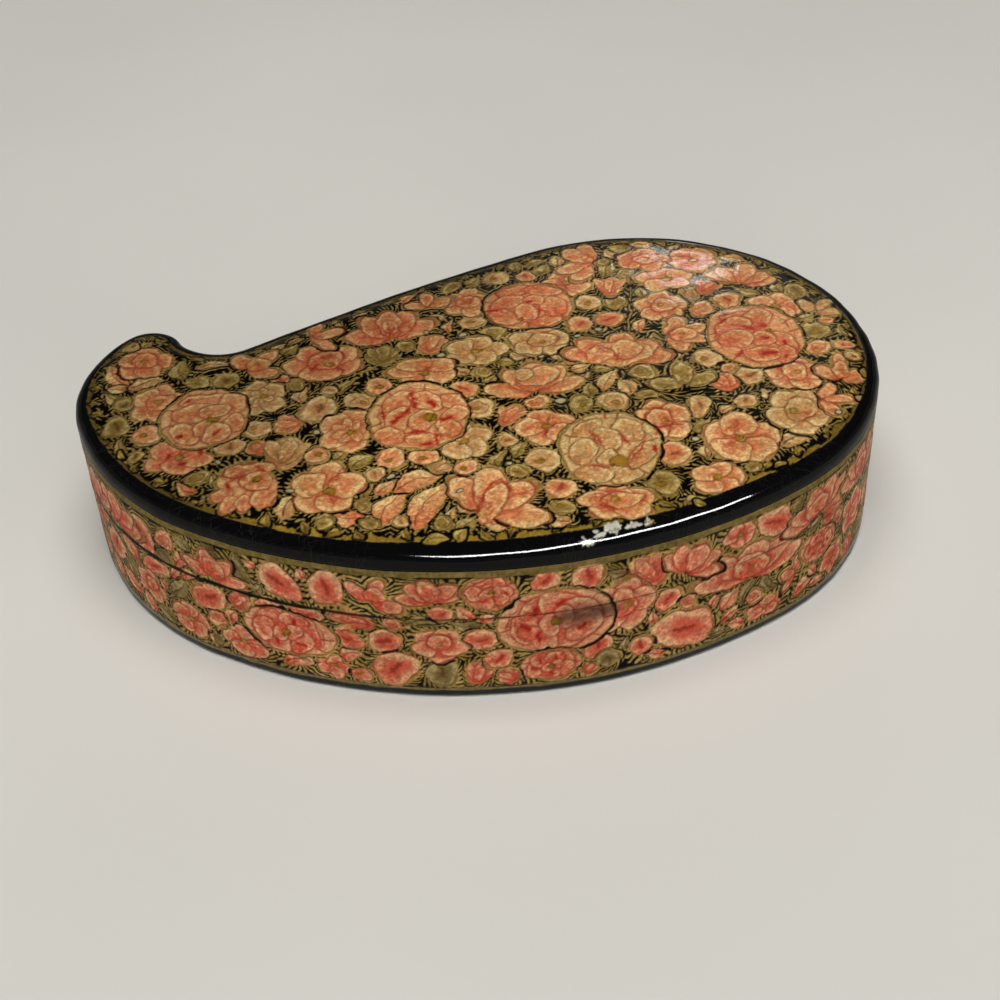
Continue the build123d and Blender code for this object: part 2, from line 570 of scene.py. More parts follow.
def rose(ground, x, y, wide, tall, look_name, petals, blots, middle):
    """A full round rose seen from the front: petals and red blots, each where it is given."""
    look, random = ground.looks[look_name], ground.random
    size = (wide + tall) / 2
    part, u, v = ground.around(x, y, size * 1.15 + REACH)
    hand, grit = ground.hand[part], ground.grit[part]
    depth = oval(u, v, wide, tall, random, 0, 0.012)
    whole = depth
    for px, py, long, broad, turn in petals:
        p, q = turned(u - (px - x), v - (py - y), radians(turn))
        whole = np.minimum(whole, oval(p, q, long, broad, random))
    ground.backing(part, whole, u, v, look, size, 0.42)
    edge = mixed(look.body, look.edge, 0.25 + 0.6 * hand) * (0.88 + 0.24 * grit)[..., None]
    ground.cover(part, depth, edge, 1, 0.06)
    ground.ink(part, depth, 0.16, look.outline * 0.9)
    ground.ink(part, depth + 1.3 + 0.9 * hand, 0.13, look.line)
    for index in range(9):
        p, q = turned(u / wide, v / tall, 2 * pi * (index + random.uniform(-0.35, 0.35)) / 9)
        thick = np.abs(q - 0.15 * (p - 0.9)) * size - 0.1 - 0.15 * grit
        ends = np.maximum(0.72 - p, p - 0.98) * size
        ground.cover(part, np.maximum(thick, ends), look.line, 0.7, 0.1)
    for px, py, long, broad, turn in petals:
        p, q = turned(u - (px - x), v - (py - y), radians(turn))
        blush = random.uniform(0.3, 1)
        petal(ground, part, p + long, q, (2 * long, 2 * broad), look, 0.15, blush, 0.06)
    heart(ground, *middle, "blot" if middle[2] < 1.5 else "dot")
    red = paint_called("red")
    for bx, by, long, broad, turn in blots:
        ground.mark(bx, by, 1.5 * long, 2.0 * broad, radians(turn), mixed(look.heart, red, 0.3), 0.6)
        ground.mark(bx, by, long, broad, radians(turn), red * 0.82, 0.85)


def blossom(ground, x, y, wide, tall, turn, look_name, kind="dot", petals=5):
    """An open flower with its petals round a middle. A cup has a large petal at the front."""
    look, random = ground.looks[look_name], ground.random
    size = (wide + tall) / 2
    part, u, v = ground.around(x, y, max(wide, tall) + REACH)
    us, vs = u * size / wide, v * size / tall
    spokes = [turn + 2 * pi * (i + random.uniform(-0.1, 0.1)) / petals for i in range(petals)]
    broad = 2 * size * np.sin(pi / petals) * 0.86
    places = [turned(us, vs, spoke) for spoke in spokes]
    shapes = [oval(p - 0.56 * size, q, 0.46 * size, 0.5 * broad, random, 0.1, 0.03) for p, q in places]
    ground.backing(part, np.minimum.reduce(shapes), u, v, look, size)
    for index in random.permutation(petals):
        p, q = places[index]
        long = size * random.uniform(0.92, 1.03)
        blush = random.uniform(0.4, 1)
        wide_here = broad * random.uniform(0.94, 1.08)
        petal(ground, part, p - 0.03 * size, q, (long, wide_here), look, 0.13, blush)
    if kind == "cup":
        side = turn + random.uniform(-0.5, 0.5)
        p, q = turned(us, vs, side)
        petal(ground, part, p + 0.42 * size, q, (1.08 * size, 0.9 * size), look, 0.17, 0.8, 0.04)
        arc = oval(p - 0.12 * size, q, 0.56 * size, 0.5 * size, random)
        line = np.maximum(np.abs(arc) - 0.2, 0.25 * size - p)
        red = paint_called("red") * 0.85
        ground.cover(part, line, red, 0.75 * ground.hand[part], 0.15)
    if kind == "crown":
        for index in range(7):
            p, q = turned(us, vs, turn + 2 * pi * index / 7)
            petal(ground, part, p, q, (0.58 * size, 0.38 * size), look, 0.1, 0.5)
    shift = random.uniform(-0.12, 0.12, 2) * size
    heart(ground, x + shift[0], y + shift[1], max(0.16 * size, 0.6), "ring" if kind == "cup" else "dot")


def fan(ground, x, y, wide, tall, turn, look_name, petals=5, cup=True):
    """A flower seen from the side, opening towards a direction."""
    look, random = ground.looks[look_name], ground.random
    size = (wide + tall) / 2
    part, u, v = ground.around(x, y, max(wide, tall) * 1.15 + REACH)
    p0, q0 = turned(u, v, turn)
    p0, q0 = (p0 + tall * 0.8) * size / tall, q0 * size / wide
    spread = np.linspace(-1.15, 1.15, petals) + random.uniform(-0.12, 0.12, petals)
    far = 1.65 * size * (1 - 0.12 * np.abs(spread))
    broad = 0.76 * size
    places = [turned(p0, q0, lean) for lean in spread]
    halves = [(p - 0.5 * reach, q, 0.5 * reach) for (p, q), reach in zip(places, far)]
    shapes = [oval(*half, 0.5 * broad, random, 0.14, 0.03) for half in halves]
    ground.backing(part, np.minimum.reduce(shapes), u, v, look, size)
    for index in sorted(range(petals), key=lambda i: -abs(spread[i])):
        p, q = places[index]
        petal_size = far[index] * random.uniform(0.94, 1), broad * random.uniform(0.9, 1.1)
        petal(ground, part, p, q, petal_size, look, 0.15, random.uniform(0.5, 1))
    if cup:
        petal(ground, part, p0 - 0.06 * size, q0, (1.1 * size, 0.95 * size), look, 0.16, 0.9, -0.02)
        heart(ground, x - 0.2 * size * np.cos(turn), y - 0.2 * size * np.sin(turn), 0.55, "ring")


def bud(ground, x, y, wide, tall, turn, look_name, kind="dot"):
    """A round bud with a smaller petal inside it."""
    look, random = ground.looks[look_name], ground.random
    size = (wide + tall) / 2
    part, u, v = ground.around(x, y, max(wide, tall) * 1.2 + REACH)
    p, q = turned(u, v, turn)
    ground.backing(part, oval(p, q, wide, tall, random, -0.08, 0.04), u, v, look, size)
    petal(ground, part, p + wide, q, (2 * wide, 2 * tall), look, 0.08, 0.45, -0.06)
    if kind == "tulip":
        for lean in (-0.5, 0.5, 0.0):
            a, b = turned(p + wide * 0.85, q, lean)
            petal(ground, part, a, b, (1.65 * wide, 0.85 * tall), look, 0.1, 0.8)
        return
    inner = oval(p + 0.15 * wide, q, 0.6 * wide, 0.58 * tall, random, 0.1, 0.08)
    if kind == "ring":
        ground.ink(part, inner, 0.1, look.line)
    if kind == "heart":
        ground.cover(part, inner + 0.2, look.heart, 0.65, 0.9)
        ground.mark(x, y, 0.45 * wide, 0.16 * tall, turn + 0.3, look.line, 0.7)
    if kind in ("dot", "ring") and size > 1.2:
        far = 0.3 * wide
        heart(ground, x - far * np.cos(turn), y - far * np.sin(turn), 0.27 * size, kind)


def leaf(ground, x, y, long, wide, turn, look_name, bend=0.15):
    """A pointed leaf with a dark midrib, lighter on one side."""
    look = ground.looks[look_name]
    part, u, v = ground.around(x, y, 0.6 * long + REACH)
    hand, grit = ground.hand[part], ground.grit[part]
    p, q = turned(u, v, turn)
    t = np.clip(p / long + 0.5, 0, 1)
    q = q - bend * long * (np.sin(pi * t) - 0.6)
    half = 0.5 * wide * np.sin(pi * t**0.85) ** 0.9
    depth = np.hypot(np.maximum(np.abs(q) - half, 0), np.maximum(np.abs(p) - 0.5 * long, 0))
    depth = np.where(depth > 0, depth, np.maximum(np.abs(q) - half, np.abs(p) - 0.5 * long))
    ground.backing(part, depth, u, v, look, 0.25 * (long + wide), 0.22)
    colour = mixed(look.body, look.edge, ease(-0.15, 0.15, q / wide + 0.4 * (hand - 0.5)))
    colour = mixed(colour, look.heart, ease(0.6, 0.05, t + 0.3 * (grit - 0.5)) * 0.8)
    ground.cover(part, depth, colour * (0.84 + 0.32 * grit)[..., None], 1, 0.06)
    rib = np.maximum(np.abs(q) - 0.1 * (1.5 - t) * (0.5 + hand), np.abs(p) - 0.42 * long)
    ground.cover(part, rib, mixed(look.line, ground.black, 0.3), 0.7, 0.1)


def stroke(ground, points, width, colour):
    """A thin curved stroke through three points, edged in black."""
    a, b, c = (np.array(point, float) for point in points)
    middle = (a + c) / 2
    part, u, v = ground.around(*middle, np.hypot(*(c - a)) / 2 + np.hypot(*(b - middle)) + REACH)
    best = np.full((u + v).shape, FAR)
    far = np.zeros_like(best)
    control = 2 * b - middle
    times = np.linspace(0, 1, 25)
    route = [(1 - t) ** 2 * a + 2 * t * (1 - t) * control + t * t * c - middle for t in times]
    for step, (start, end) in enumerate(zip(route, route[1:])):
        run = end - start
        t = np.clip(((u - start[0]) * run[0] + (v - start[1]) * run[1]) / (run @ run), 0, 1)
        away = np.hypot(u - start[0] - t * run[0], v - start[1] - t * run[1])
        far = np.where(away < best, (step + t) / 24, far)
        best = np.minimum(away, best)
    depth = best - width * (0.65 - 0.3 * far)
    ground.claim(part, depth, far * 7, 0.3)
    ground.cover(part, depth - 0.2, ground.black)
    ground.cover(part, depth, colour * (0.8 + 0.4 * ground.grit[part])[..., None])


def dot(ground, x, y, size):
    """A small pale dot."""
    part, u, v = ground.around(x, y, size + REACH)
    depth = oval(u, v, 0.85 * size, size * ground.random.uniform(0.6, 0.8), ground.random, 0, 0.03)
    ground.near[part] = np.minimum(ground.near[part], depth)
    ground.cover(part, depth - 0.15, ground.black)
    ground.cover(part, depth, paint_called("dot"), 0.95, 0.1)


def loose_rose(ground, x, y, wide, tall, turn, look_name, petals=5):
    """A full round rose whose petals fall where they may."""
    random = ground.random
    size = (wide + tall) / 2
    places, blots = [], []
    for index in random.permutation(petals + 1):
        spoke = turn + 2 * pi * (index + random.uniform(-0.18, 0.18)) / (petals + 1)
        far = random.uniform(0.5, 0.58)
        place = x + far * np.cos(spoke) * wide, y + far * np.sin(spoke) * tall
        long, broad = random.uniform(0.38, 0.46) * size, random.uniform(0.26, 0.33) * size
        places.append((*place, long, broad, np.degrees(spoke) + 90 + random.uniform(-30, 30)))
        if random.random() < 0.6:
            blots.append((*place, 0.12 * size, 0.05 * size, random.uniform(0, 180)))
    for spoke in (turn, turn + pi):
        place = x + 0.14 * np.cos(spoke) * wide, y + 0.14 * np.sin(spoke) * tall
        places.append((*place, 0.3 * size, 0.22 * size, np.degrees(spoke) + 60))
    rose(ground, x, y, wide, tall, look_name, places, blots, (x, y, 0.12 * size))


MOTIFS = {"blossom": blossom, "fan": fan, "bud": bud, "leaf": leaf, "loose_rose": loose_rose}


def lay(ground, kind, *where):
    """Paints one motif of a list, whose turn is in degrees."""
    x, y, wide, tall, turn, *rest = where
    MOTIFS[kind](ground, x, y, wide, tall, radians(turn), *rest)


def fill_gaps(ground, room, looks, least, most=2.2):
    """Fills the gaps that are left with buds and leaves, the widest gaps first."""
    random = ground.random
    gap = in_mm("painting", "gap")
    while True:
        free = np.minimum(ground.near, room)
        row, column = divmod(int(free.argmax()), free.shape[1])
        wide = free[row, column] - gap
        if wide < least:
            return
        x, y = ground.x[column], ground.y[row]
        size = min(wide, most) * random.uniform(0.85, 1)
        out = size + 0.9

        def room_at(turn):
            i = np.clip(np.searchsorted(ground.y, y + out * np.sin(turn)), 0, len(ground.y) - 1)
            j = np.clip(np.searchsorted(ground.x, x + out * np.cos(turn)), 0, len(ground.x) - 1)
            return free[i, j]

        turns = np.arange(0, pi, pi / 8)
        spare = [min(room_at(turn), room_at(turn + pi)) for turn in turns]
        turn = turns[int(np.argmax(spare))]
        extra = max(0.0, min(max(spare), 0.8 * size))
        look = looks[random.integers(len(looks))]
        if size < 1.2 or (extra > 0.3 and random.random() < 0.6):
            bend = random.uniform(-0.15, 0.15)
            leaf(ground, x, y, 2 * (size + extra), 1.7 * size, turn, look, bend)
        else:
            kind = ("dot", "heart", "ring", "tulip")[random.integers(4)]
            bud(ground, x, y, size + 0.5 * extra, size, turn + pi * random.integers(2), look, kind)


def hatch(ground, room, broad, reach):
    """The pale strokes that stand like grass on the black round each motif.

    Broad is the share that they cover, and reach scales their length.
    """
    near, pitch = ground.near, in_mm("painting", "hatch")
    reach = reach * in_mm("painting", "hatch_reach")
    pale, olive = paint_called("hatch"), paint_called("outline")
    wander = cloud(ground.random, near.shape, 3.5 / ground.cell)
    swing = (ground.comb * 7.3) % 1 - 0.5
    combed = (ground.arc + swing * 2.4 * near + 0.6 * wander + 0.25 * ground.hand) / pitch
    ringed = near / (0.95 * pitch) + 0.5 * wander
    rings = np.sin(ground.arc * 0.45 + 20 * ground.comb) + 2 * (ground.comb - 0.5) > 0.8
    phase = np.where(rings, ringed, combed)
    each = np.floor(combed)
    length = reach * (0.6 + 0.4 * np.abs(np.sin(each * 12.9898)) + 0.5 * rings)
    thin = broad - 0.36 * np.clip(near / length, 0, 1) ** 1.5
    depth = (np.abs(phase % 1 - 0.5) - 0.5 * thin) * pitch
    on = ease(0.12, 0.3, near) * ease(length, length - 0.4, near) * ease(-0.1, 0.15, room)
    tone = 0.5 + 0.5 * np.sin(np.floor(phase) * 5.7 + 9 * ground.comb)
    colour = mixed(olive, pale, 0.35 + 0.45 * tone + 0.2 * ground.grit)
    amount = np.clip(0.5 - depth / (ground.cell + 0.03), 0, 1) * on * (0.75 + 0.25 * ground.grit)
    ground.colour += amount[..., None] * (colour - ground.colour)


def age(ground, specks):
    """Fine specks, mottling and a little yellowed varnish over the painting."""
    random, shape = ground.random, ground.near.shape
    fine = cloud(random, shape, 0.2 / ground.cell)
    broad = cloud(random, shape, 9 / ground.cell)
    ground.colour *= (0.95 + 0.1 * fine)[..., None]
    ground.colour *= 1 - 0.12 * broad[..., None] * np.array((0.7, 0.8, 1.2))
    ground.colour *= paint_called("varnish_tint")
    ground.colour *= 0.79 + 0.3 * ground.colour.max(axis=-1, keepdims=True)
    red = paint_called("red") * 0.5
    rows, columns = np.nonzero(ground.near < -0.15)
    for index in random.integers(len(rows), size=specks):
        x, y = ground.x[columns[index]], ground.y[rows[index]]
        part, u, v = ground.around(x, y, 0.5)
        size = 0.03 + 0.14 * random.random() ** 3
        ground.cover(part, np.hypot(u, v) - size, red, random.uniform(0.3, 0.8), 0.05)


def looks_for(names):
    """The looks by name. The first three colours of each are held as properties."""
    red, outline = paint_called("red"), paint_called("outline")
    looks = {}
    for name in names:
        three = [paint_called(f"{name}_{part}") for part in PETAL_PARTS]
        line = mixed(three[0], red, 0.5) * 0.74
        if name in ("olive", "moss", "cream", "ochre"):
            line = mixed(line, outline * 0.6, 0.5)
        looks[name] = Look(*three, line, outline)
    return looks


# Tables. Each row is a motif, and rows end at a semicolon. Lengths are in millimetres and turns in
# degrees. The columns are the place, the half sizes, the turn, the look and what else the motif
# takes. A leaf has its whole length and width.


def read(table):
    """The rows of a table, with their numbers read."""
    return [[cell(word) for word in row.split()] for row in table.split(";")]


def cell(word):
    """A whole number, a number or a word."""
    for kind in (int, float):
        try:
            return kind(word)
        except ValueError:
            pass
    return word


# A rose: its middle, half sizes and look, then its petals and red blots as middle, half sizes and
# turn, and then the place and size of its heart.
LID_ROSES = (
    (
        "-40.2 -28.4 5 5.2 peach",
        "-44.4 -31 2.3 1.5 30; -42.8 -33.4 2.4 1.5 60; -40.2 -33.6 2.4 1.5 95; -36.8 -31.4 3.8 2.4 80; "
        "-40.6 -24.8 4.4 2 8; -38.6 -28 2.9 2.6 60",
        "-43.2 -29 1 0.4 110; -41.4 -26.6 1.6 0.16 35; -38 -24.4 1.4 0.16 140",
        "-38.4 -27.4 0.9",
    ),
    (
        "-49.4 -8.9 8 8.7 peach",
        "-50.4 -3.4 4.6 1.9 4; -44.6 -5 3.5 2.3 100; -51.6 -7.4 4.4 2.9 15; -47.9 -7 2.9 1.9 15; "
        "-52.4 -13.4 3.3 2.6 120; -43.9 -11.2 2.8 1.8 90; -49.2 -11.9 2.5 1.9 60; -46.8 -14 3 2.3 80",
        "-52.8 -3.2 1 0.3 40; -53.5 -13.8 0.9 0.35 10; -46.6 -13.6 0.9 0.3 70",
        "-47.6 -9.5 1.2",
    ),
    (
        "-10.7 -11.9 8.9 9.9 peach",
        "-4.6 -8.4 2.9 2.1 -50; -14.4 -7.7 3.5 2.4 40; -9.2 -7.5 3.7 2.6 -58; -4.1 -12.4 2.7 2.2 60; "
        "-14.3 -13 3.8 2.5 72; -15.6 -17.7 3 2.2 120; -5.2 -16.3 2.7 2.1 120; -10.2 -19.2 3.3 1.9 0; "
        "-10 -13.8 3.3 2.4 80",
        "-11.6 -6.6 2.1 0.34 95; -11.2 -9 0.7 0.5 60; -13.3 -10.6 1.5 0.4 45; -14.4 -12.8 1.3 0.5 60; "
        "-8 -8.6 1.2 0.5 -60; -5.5 -13.5 1.2 0.5 5; -7.3 -18.9 1.6 0.28 95; -10.8 -17.1 2.2 0.24 0; "
        "-9 -20.4 1.2 0.4 10; -16.8 -11.2 1.2 0.3 95",
        "-8.5 -12.9 1.2",
    ),
    (
        "10.6 22.3 8.6 8.2 coral",
        "8 27.8 3.9 1.8 12; 13.6 27.6 4 1.9 -14; 13.8 16.4 3.6 1.7 22; 6.2 23.4 4 2.3 40; "
        "5.9 18.7 3.3 2.6 -30; 15.6 21.2 3.5 2.5 75; 10.3 19.6 3 2.4 90; 11.8 24.2 2.5 1.8 0",
        "10.7 23.5 0.8 0.45 20; 3.6 21.2 1.3 0.3 5; 12.7 20.6 1.1 0.22 85",
        "8.9 17.4 0.5",
    ),
    (
        "22.8 -24.1 8.8 9.9 cream",
        "19 -18.7 2.9 2.1 40; 17.8 -25.1 3.8 2.4 80; 26.4 -19.6 3.3 2.6 120; 22.6 -21.8 3.7 2.3 104; "
        "24.6 -31.8 2.7 1.8 20; 19.4 -31 3.7 2.2 -10; 28 -26.8 4.1 2.1 60; 22.2 -26.8 2.2 1.7 60",
        "20.5 -21.4 2 0.2 113; 25.3 -21.8 1.5 0.2 120; 20.6 -29 1.8 0.2 -5; 27.3 -25.6 2.6 0.16 62; "
        "22.7 -15.4 0.8 0.2 95; 30.6 -25.2 0.8 0.4 90",
        "24.1 -27.8 1.7",
    ),
    (
        "52.9 7.9 9.2 10.1 coral",
        "50.2 14.2 3.2 1.7 12; 54.2 13.4 3.6 2.6 60; 48.9 11.2 4.3 2.4 28; 58.1 5.2 3.6 2.1 108; "
        "57.7 1.2 2.7 1.9 80; 53 1.6 3.4 2.3 0; 54.2 6.7 3 2.3 70; 49.2 7 3.5 2.7 28",
        "51.8 10.5 1.3 0.4 -25; 54.9 11.1 0.9 0.45 10; 47.6 13.1 0.9 0.3 40; 55 7.1 0.8 0.45 20; "
        "57.9 5 0.8 0.3 70; 49.2 2.2 1.2 0.35 60; 54.4 1.9 1.4 0.6 5; 57.6 0.8 0.6 0.3 60",
        "55.8 9.4 0.7",
    ),
)
LID_MOTIFS = {
    "leaf": """
    -67.6 6 8.5 3.2 125 peach; -61.6 3.2 7 3.2 20 cream; -55.6 6.6 6.5 3.6 100 olive;
    -49.4 8.2 6.5 2.2 8 cream; -66.6 -1.4 6.5 2.6 150 olive; -63.5 -15.6 5 1.6 110 olive;
    -63.4 16.2 3.6 2.4 60 olive; -32.6 -35 6.8 4.2 65 cream; -45.4 -27 4.4 2.2 130 olive;
    -50.6 -28.4 4.6 2.4 140 coral; -8.6 -36.4 13.6 5.4 60 peach; -15.3 -36.7 9.4 4.6 64 peach;
    -10.8 -30.4 9.2 4.6 24 peach; -22.8 -38.8 6.4 3.8 170 coral; -2.6 -37 6.4 2.8 115 cream;
    2.4 -41.9 6.6 2.8 170 peach; 12 -41.6 6 3 150 cream; -5 -39.4 2.6 1.9 90 cream;
    -19.4 -31.8 4.2 2.2 70 olive; -23.8 -22.4 4 2.2 50 olive; 17.8 6.8 4.6 2.4 65 olive;
    18.2 2.6 3.6 2.2 20 peach; -32.2 -3.6 5.4 2.8 80 cream; -24.2 -1.6 4.8 2 60 olive;
    -26 18.2 4.2 1.8 110 cream; -22 22 4 2 60 cream; -5 16.6 4.4 2 85 peach; -20.4 3.4 3.8 1.8 30 olive;
    -2.6 1 3.4 2.2 140 cream; 8 5 4.2 2.2 150 cream; 15.4 4.2 3 1.8 100 cream; 19.6 -3.2 5 1.6 60 cream;
    31.8 13.2 4.4 2.2 75 peach; 34.2 8.6 3.2 1.8 110 olive; 36.4 34 3.6 1.8 40 olive;
    31.6 30.2 3.6 1.6 80 olive; 28.4 40 5 2.4 130 cream; 41.4 41.2 4 2.2 70 cream;
    13 38.6 4.6 2.2 30 olive; 59.6 24.4 4.4 2.4 100 olive; 52.4 -11.4 4.4 2.4 120 cream;
    44.4 -14.8 3.2 1.8 30 cream; 54.8 -24 5.6 3 20 cream; 39.2 -26.2 3.8 2 80 cream;
    9.4 -40 3.4 2 60 olive; 35.4 -38.6 4.6 2.2 30 olive; 3.4 -25.6 5.4 1.8 70 olive;
    3 -2.4 4.6 1.8 75 olive; 69.4 8.4 3.4 1.4 95 olive; 65.4 -7 3 1.6 60 olive; -37.4 13 4.2 2 60 cream;
    -34.6 14.8 3.4 1.6 30 olive
""",
    "bud": """
    -51.6 2.4 2.3 2.3 60 olive dot; -46.6 2.6 2.4 2.4 80 olive heart; -39.2 -13.1 2.6 2.6 0 cream ring;
    -59.2 -12.6 2.4 2.8 20 peach dot; -43.8 -17.9 2.2 2.6 90 cream heart;
    -38.7 -19 2.1 1.8 130 coral tulip; -34.2 -12.4 2.7 2.5 170 peach tulip;
    -28.6 -8 4 3.2 60 cream heart; -21.6 -6.6 2.9 2.4 150 cream ring; -18.2 -2 2.6 2.4 100 peach dot;
    -15.2 -23.8 2.5 2.6 30 peach dot; -9.6 -23.6 2.5 2.6 80 peach dot;
    -2.4 -4.7 2.7 2.6 120 peach heart; 0.6 -10.9 2.6 2.6 0 cream ring; 18.9 -10.9 2.6 2.2 90 olive dot;
    24.6 -10.7 2.7 2.6 110 cream ring; 11.2 -26.6 2.8 3.4 20 cream dot; 13.7 -34 2.6 2.6 45 peach heart;
    34 -26.3 2.5 3.2 0 peach heart; 31 -34 2.8 3.4 10 olive dot; 31 -9.2 1.9 1.6 0 olive heart;
    5 -20.6 1.7 1.7 0 cream heart; -0.3 17.8 2.5 2.4 50 cream dot; 3.6 13.1 2.6 2.4 70 olive ring;
    20.5 15 2.8 2.7 40 peach heart; 26.3 15.8 2.8 2.4 10 coral heart; 22.4 22.5 2.5 2.6 90 cream dot;
    27.8 22.2 2.3 2 90 olive dot; 44.2 17.6 2.4 2.4 0 peach heart; 43 1 2.6 2.6 30 cream dot;
    50 -4.7 2.3 2.9 20 cream heart; 64.2 3.5 2.5 2.2 30 peach ring; 64.8 9.4 2.6 2.6 80 olive dot;
    49.2 20.9 2.5 2.7 100 peach heart; 42.2 23.4 2.2 1.6 80 cream tulip; 46.2 26 2.8 1.8 60 coral tulip;
    5 33.4 2.3 2.5 0 cream dot; 10.8 33.8 2.1 1.8 90 peach heart; 45 -6.6 2.8 2.4 110 coral tulip;
    47.9 -12.4 1.9 1.9 80 cream heart; 39.8 -13.2 3 1.9 75 cream heart;
    39.4 -19.6 1.9 1.6 20 olive heart; -36.4 2.2 1.7 1.3 120 peach heart;
    36.4 3.2 2.6 1.8 10 peach ring; -8.2 10.9 3.2 2.4 70 peach tulip;
    -33.8 -20.2 4.4 3.2 80 cream tulip; -65.4 -9.6 3 2.3 100 olive heart; -64.6 -3 2 1.8 30 olive heart;
    27.2 28 3.6 2.2 85 peach tulip; 5.9 -13.4 3 1.7 65 peach tulip; -17.4 8.2 3 2.9 90 olive tulip;
    -7.5 19.9 1.5 1.3 0 cream heart; 67.4 12.4 1.3 1.2 0 peach heart; 69 4 1.4 2 80 peach heart
""",
    "blossom": """
    -26.2 -30.9 6.2 6.5 85 peach dot; 45.8 -23 6.5 6.5 15 peach dot; 56.8 -16.2 5.6 6.3 60 cream cup;
    32.6 -17 4.9 5.8 100 peach cup; 12.2 -17.4 5 4.7 30 peach dot; 22.6 -38.2 6.4 4.2 20 peach cup;
    58.4 -4.8 5.4 5 80 peach cup; -28.4 6.6 7.4 5.8 50 coral cup; -0.2 7.4 5.6 4.8 75 cream dot;
    -9.8 1.7 6.4 4.6 40 peach dot; 12.2 9.6 5.7 4.9 15 cream cup; -58.8 -3.4 4.5 5.6 0 peach cup;
    -2.7 -20 4.9 5.2 30 cream dot; 18.7 29.8 4.9 5 45 peach dot; -1.4 24.8 4.8 5 10 peach cup;
    -23 -15.3 5.2 5.6 0 peach crown; -53 -19.8 6 4.6 60 coral dot; -39.3 -3.6 4.4 5 35 cream crown;
    58.4 17.6 5.4 4.6 70 peach dot; 40.4 -33.2 4.6 4 10 peach dot; 36.4 19.4 4.6 5.3 20 peach cup;
    38.3 29.6 5.8 4.2 20 peach dot; -63 10 5.2 5 80 coral cup; 44.6 36.6 5.2 4.6 50 coral dot;
    34.6 37.4 5 4.2 0 coral cup
""",
    "fan": """
    -16.6 18.3 6.6 6.2 100 coral 5 0; 26.6 5.6 7.4 5.6 85 coral 5 1; 10.3 -2.6 6.6 5.6 95 peach 5 1;
    3.8 -34.8 7.2 6.6 56 peach 4 0; -40.4 8.2 4.4 4.8 45 peach 3 1; 40.3 9.6 4.3 4.7 5 peach 4 1;
    66.8 -3.4 3.2 4.9 80 peach 3 1; 53.6 30.2 5.2 4.8 75 peach 5 0; 21 38.2 6 4.4 170 peach 4 0;
    -28.5 16.6 4.2 3.4 20 peach 3 0; 37.6 -3.6 4.6 4.2 95 olive 3 0; -9.2 26.6 3.6 3.4 100 peach 3 0;
    64.4 -12.8 3.4 3.4 0 peach 3 0; 67.2 18 3 3.6 60 cream 3 0
""",
}
# Stems through three points.
LID_STEMS = """
    27 -1.5 33 -8.5 41.5 -10.8; 41.5 -10.8 49 -10.2 55 -6.6; 42 -10.8 47.5 -11.8 50.6 -14.6;
    29.5 11.5 30.3 19.5 31.2 27; 28.4 9 29.2 10.4 29.5 11.5; -36.4 -8.6 -31.6 -4.8 -27.6 0.6;
    2 -2.6 4.6 -0.6 1.6 3.8; -10.2 13.2 -6.4 13.4 -4 11; -22 10.2 -19 12 -16.6 13.6;
    -11 -26.4 -13.4 -31.4 -12.8 -34
"""
# Red lines drawn over the petals, with no look.
LID_VEINS = """
    -0.1 -38 2.3 0.14 78; 0.9 -34 1.8 0.17 72; 2.3 -31.8 1.3 0.18 28; 4.2 -32.2 1.2 0.17 -45;
    5.1 -34 1.4 0.17 -75; 7.6 -34.6 2.4 0.13 25; -0.6 -35.4 1.4 0.12 -52; -25.6 -33.4 1.7 0.13 -75;
    -24.6 -28.4 1.8 0.12 68; -52.4 -21.8 0.9 0.35 20; -54.8 -19.6 0.8 0.35 70; -49 -18.6 0.9 0.4 100;
    33.4 -18.9 2.2 0.14 15; 31 -20.4 1 0.2 80; 22 -35.6 2.6 0.14 10; 21 -39.6 2 0.2 -15;
    45.2 -20.4 1.6 0.13 80; 43.6 -24.4 1.4 0.13 30; 58 -18 1.8 0.13 60; -28 8.6 2 0.16 20;
    -30.4 4.8 1.5 0.2 60; -26 4.4 1.6 0.15 130; 26.4 3 2 0.16 80; 24 5.4 1.6 0.14 130; -16.4 16.4 2 0.16 95;
    -0.8 25.6 1.8 0.16 50; 18 29.2 1.7 0.14 110; 12.4 -18.2 1.5 0.13 60; -9.4 2.4 1.8 0.13 20
"""
# Petals laid over the flowers.
LID_PETALS = """
    23.2 -2.6 3 0.9 72 coral; 31.2 -0.4 2.6 0.9 160 coral; 26 4 6 4.1 12 peach; 22.9 3.3 2.9 2.5 70 peach;
    28.4 4.9 3 2.9 95 peach; -16.2 17.4 2.4 1.5 110 peach; 1.6 -37.8 5.2 2 66 peach;
    10.8 -2.4 4 2.9 20 peach; 8.6 -1.6 2.2 1.7 80 cream; 44 18 2.2 2.2 20 peach
"""
LID_DOTS = """
    -29 -15 0.72; -6.5 6.6 0.85; -9.1 15 0.7; -2.3 13.3 0.85; 19.6 10.6 0.6; 12 4.1 0.6; -15.3 -28.6 0.85;
    -3.7 -33.6 0.6; 5 -27.2 0.6; 15.2 -9.6 1; 37.8 -22.9 0.8; 24 12.2 0.8; -32.6 -31.2 0.7; -45.6 -22 0.8;
    41.6 13.6 0.5; 63.8 -16.6 0.6; -1 -7.9 0.6
"""
# Paint that runs over the black rim, laid after it.
RIM_SPILLS = """
    -7.6 -44.9 4 1.9 4 ochre; -3.6 -44.3 2.8 2 60 ochre; 36.4 -39.2 2 1.1 150 ochre;
    27.4 -43.2 1.5 1 30 peach; 70.9 -4.4 2.6 0.8 80 ochre; 68.6 -12.2 1.4 0.7 60 cream;
    -63.4 -17.8 2.2 0.7 120 ochre; 51.2 -30.2 2.2 0.7 30 ochre
"""
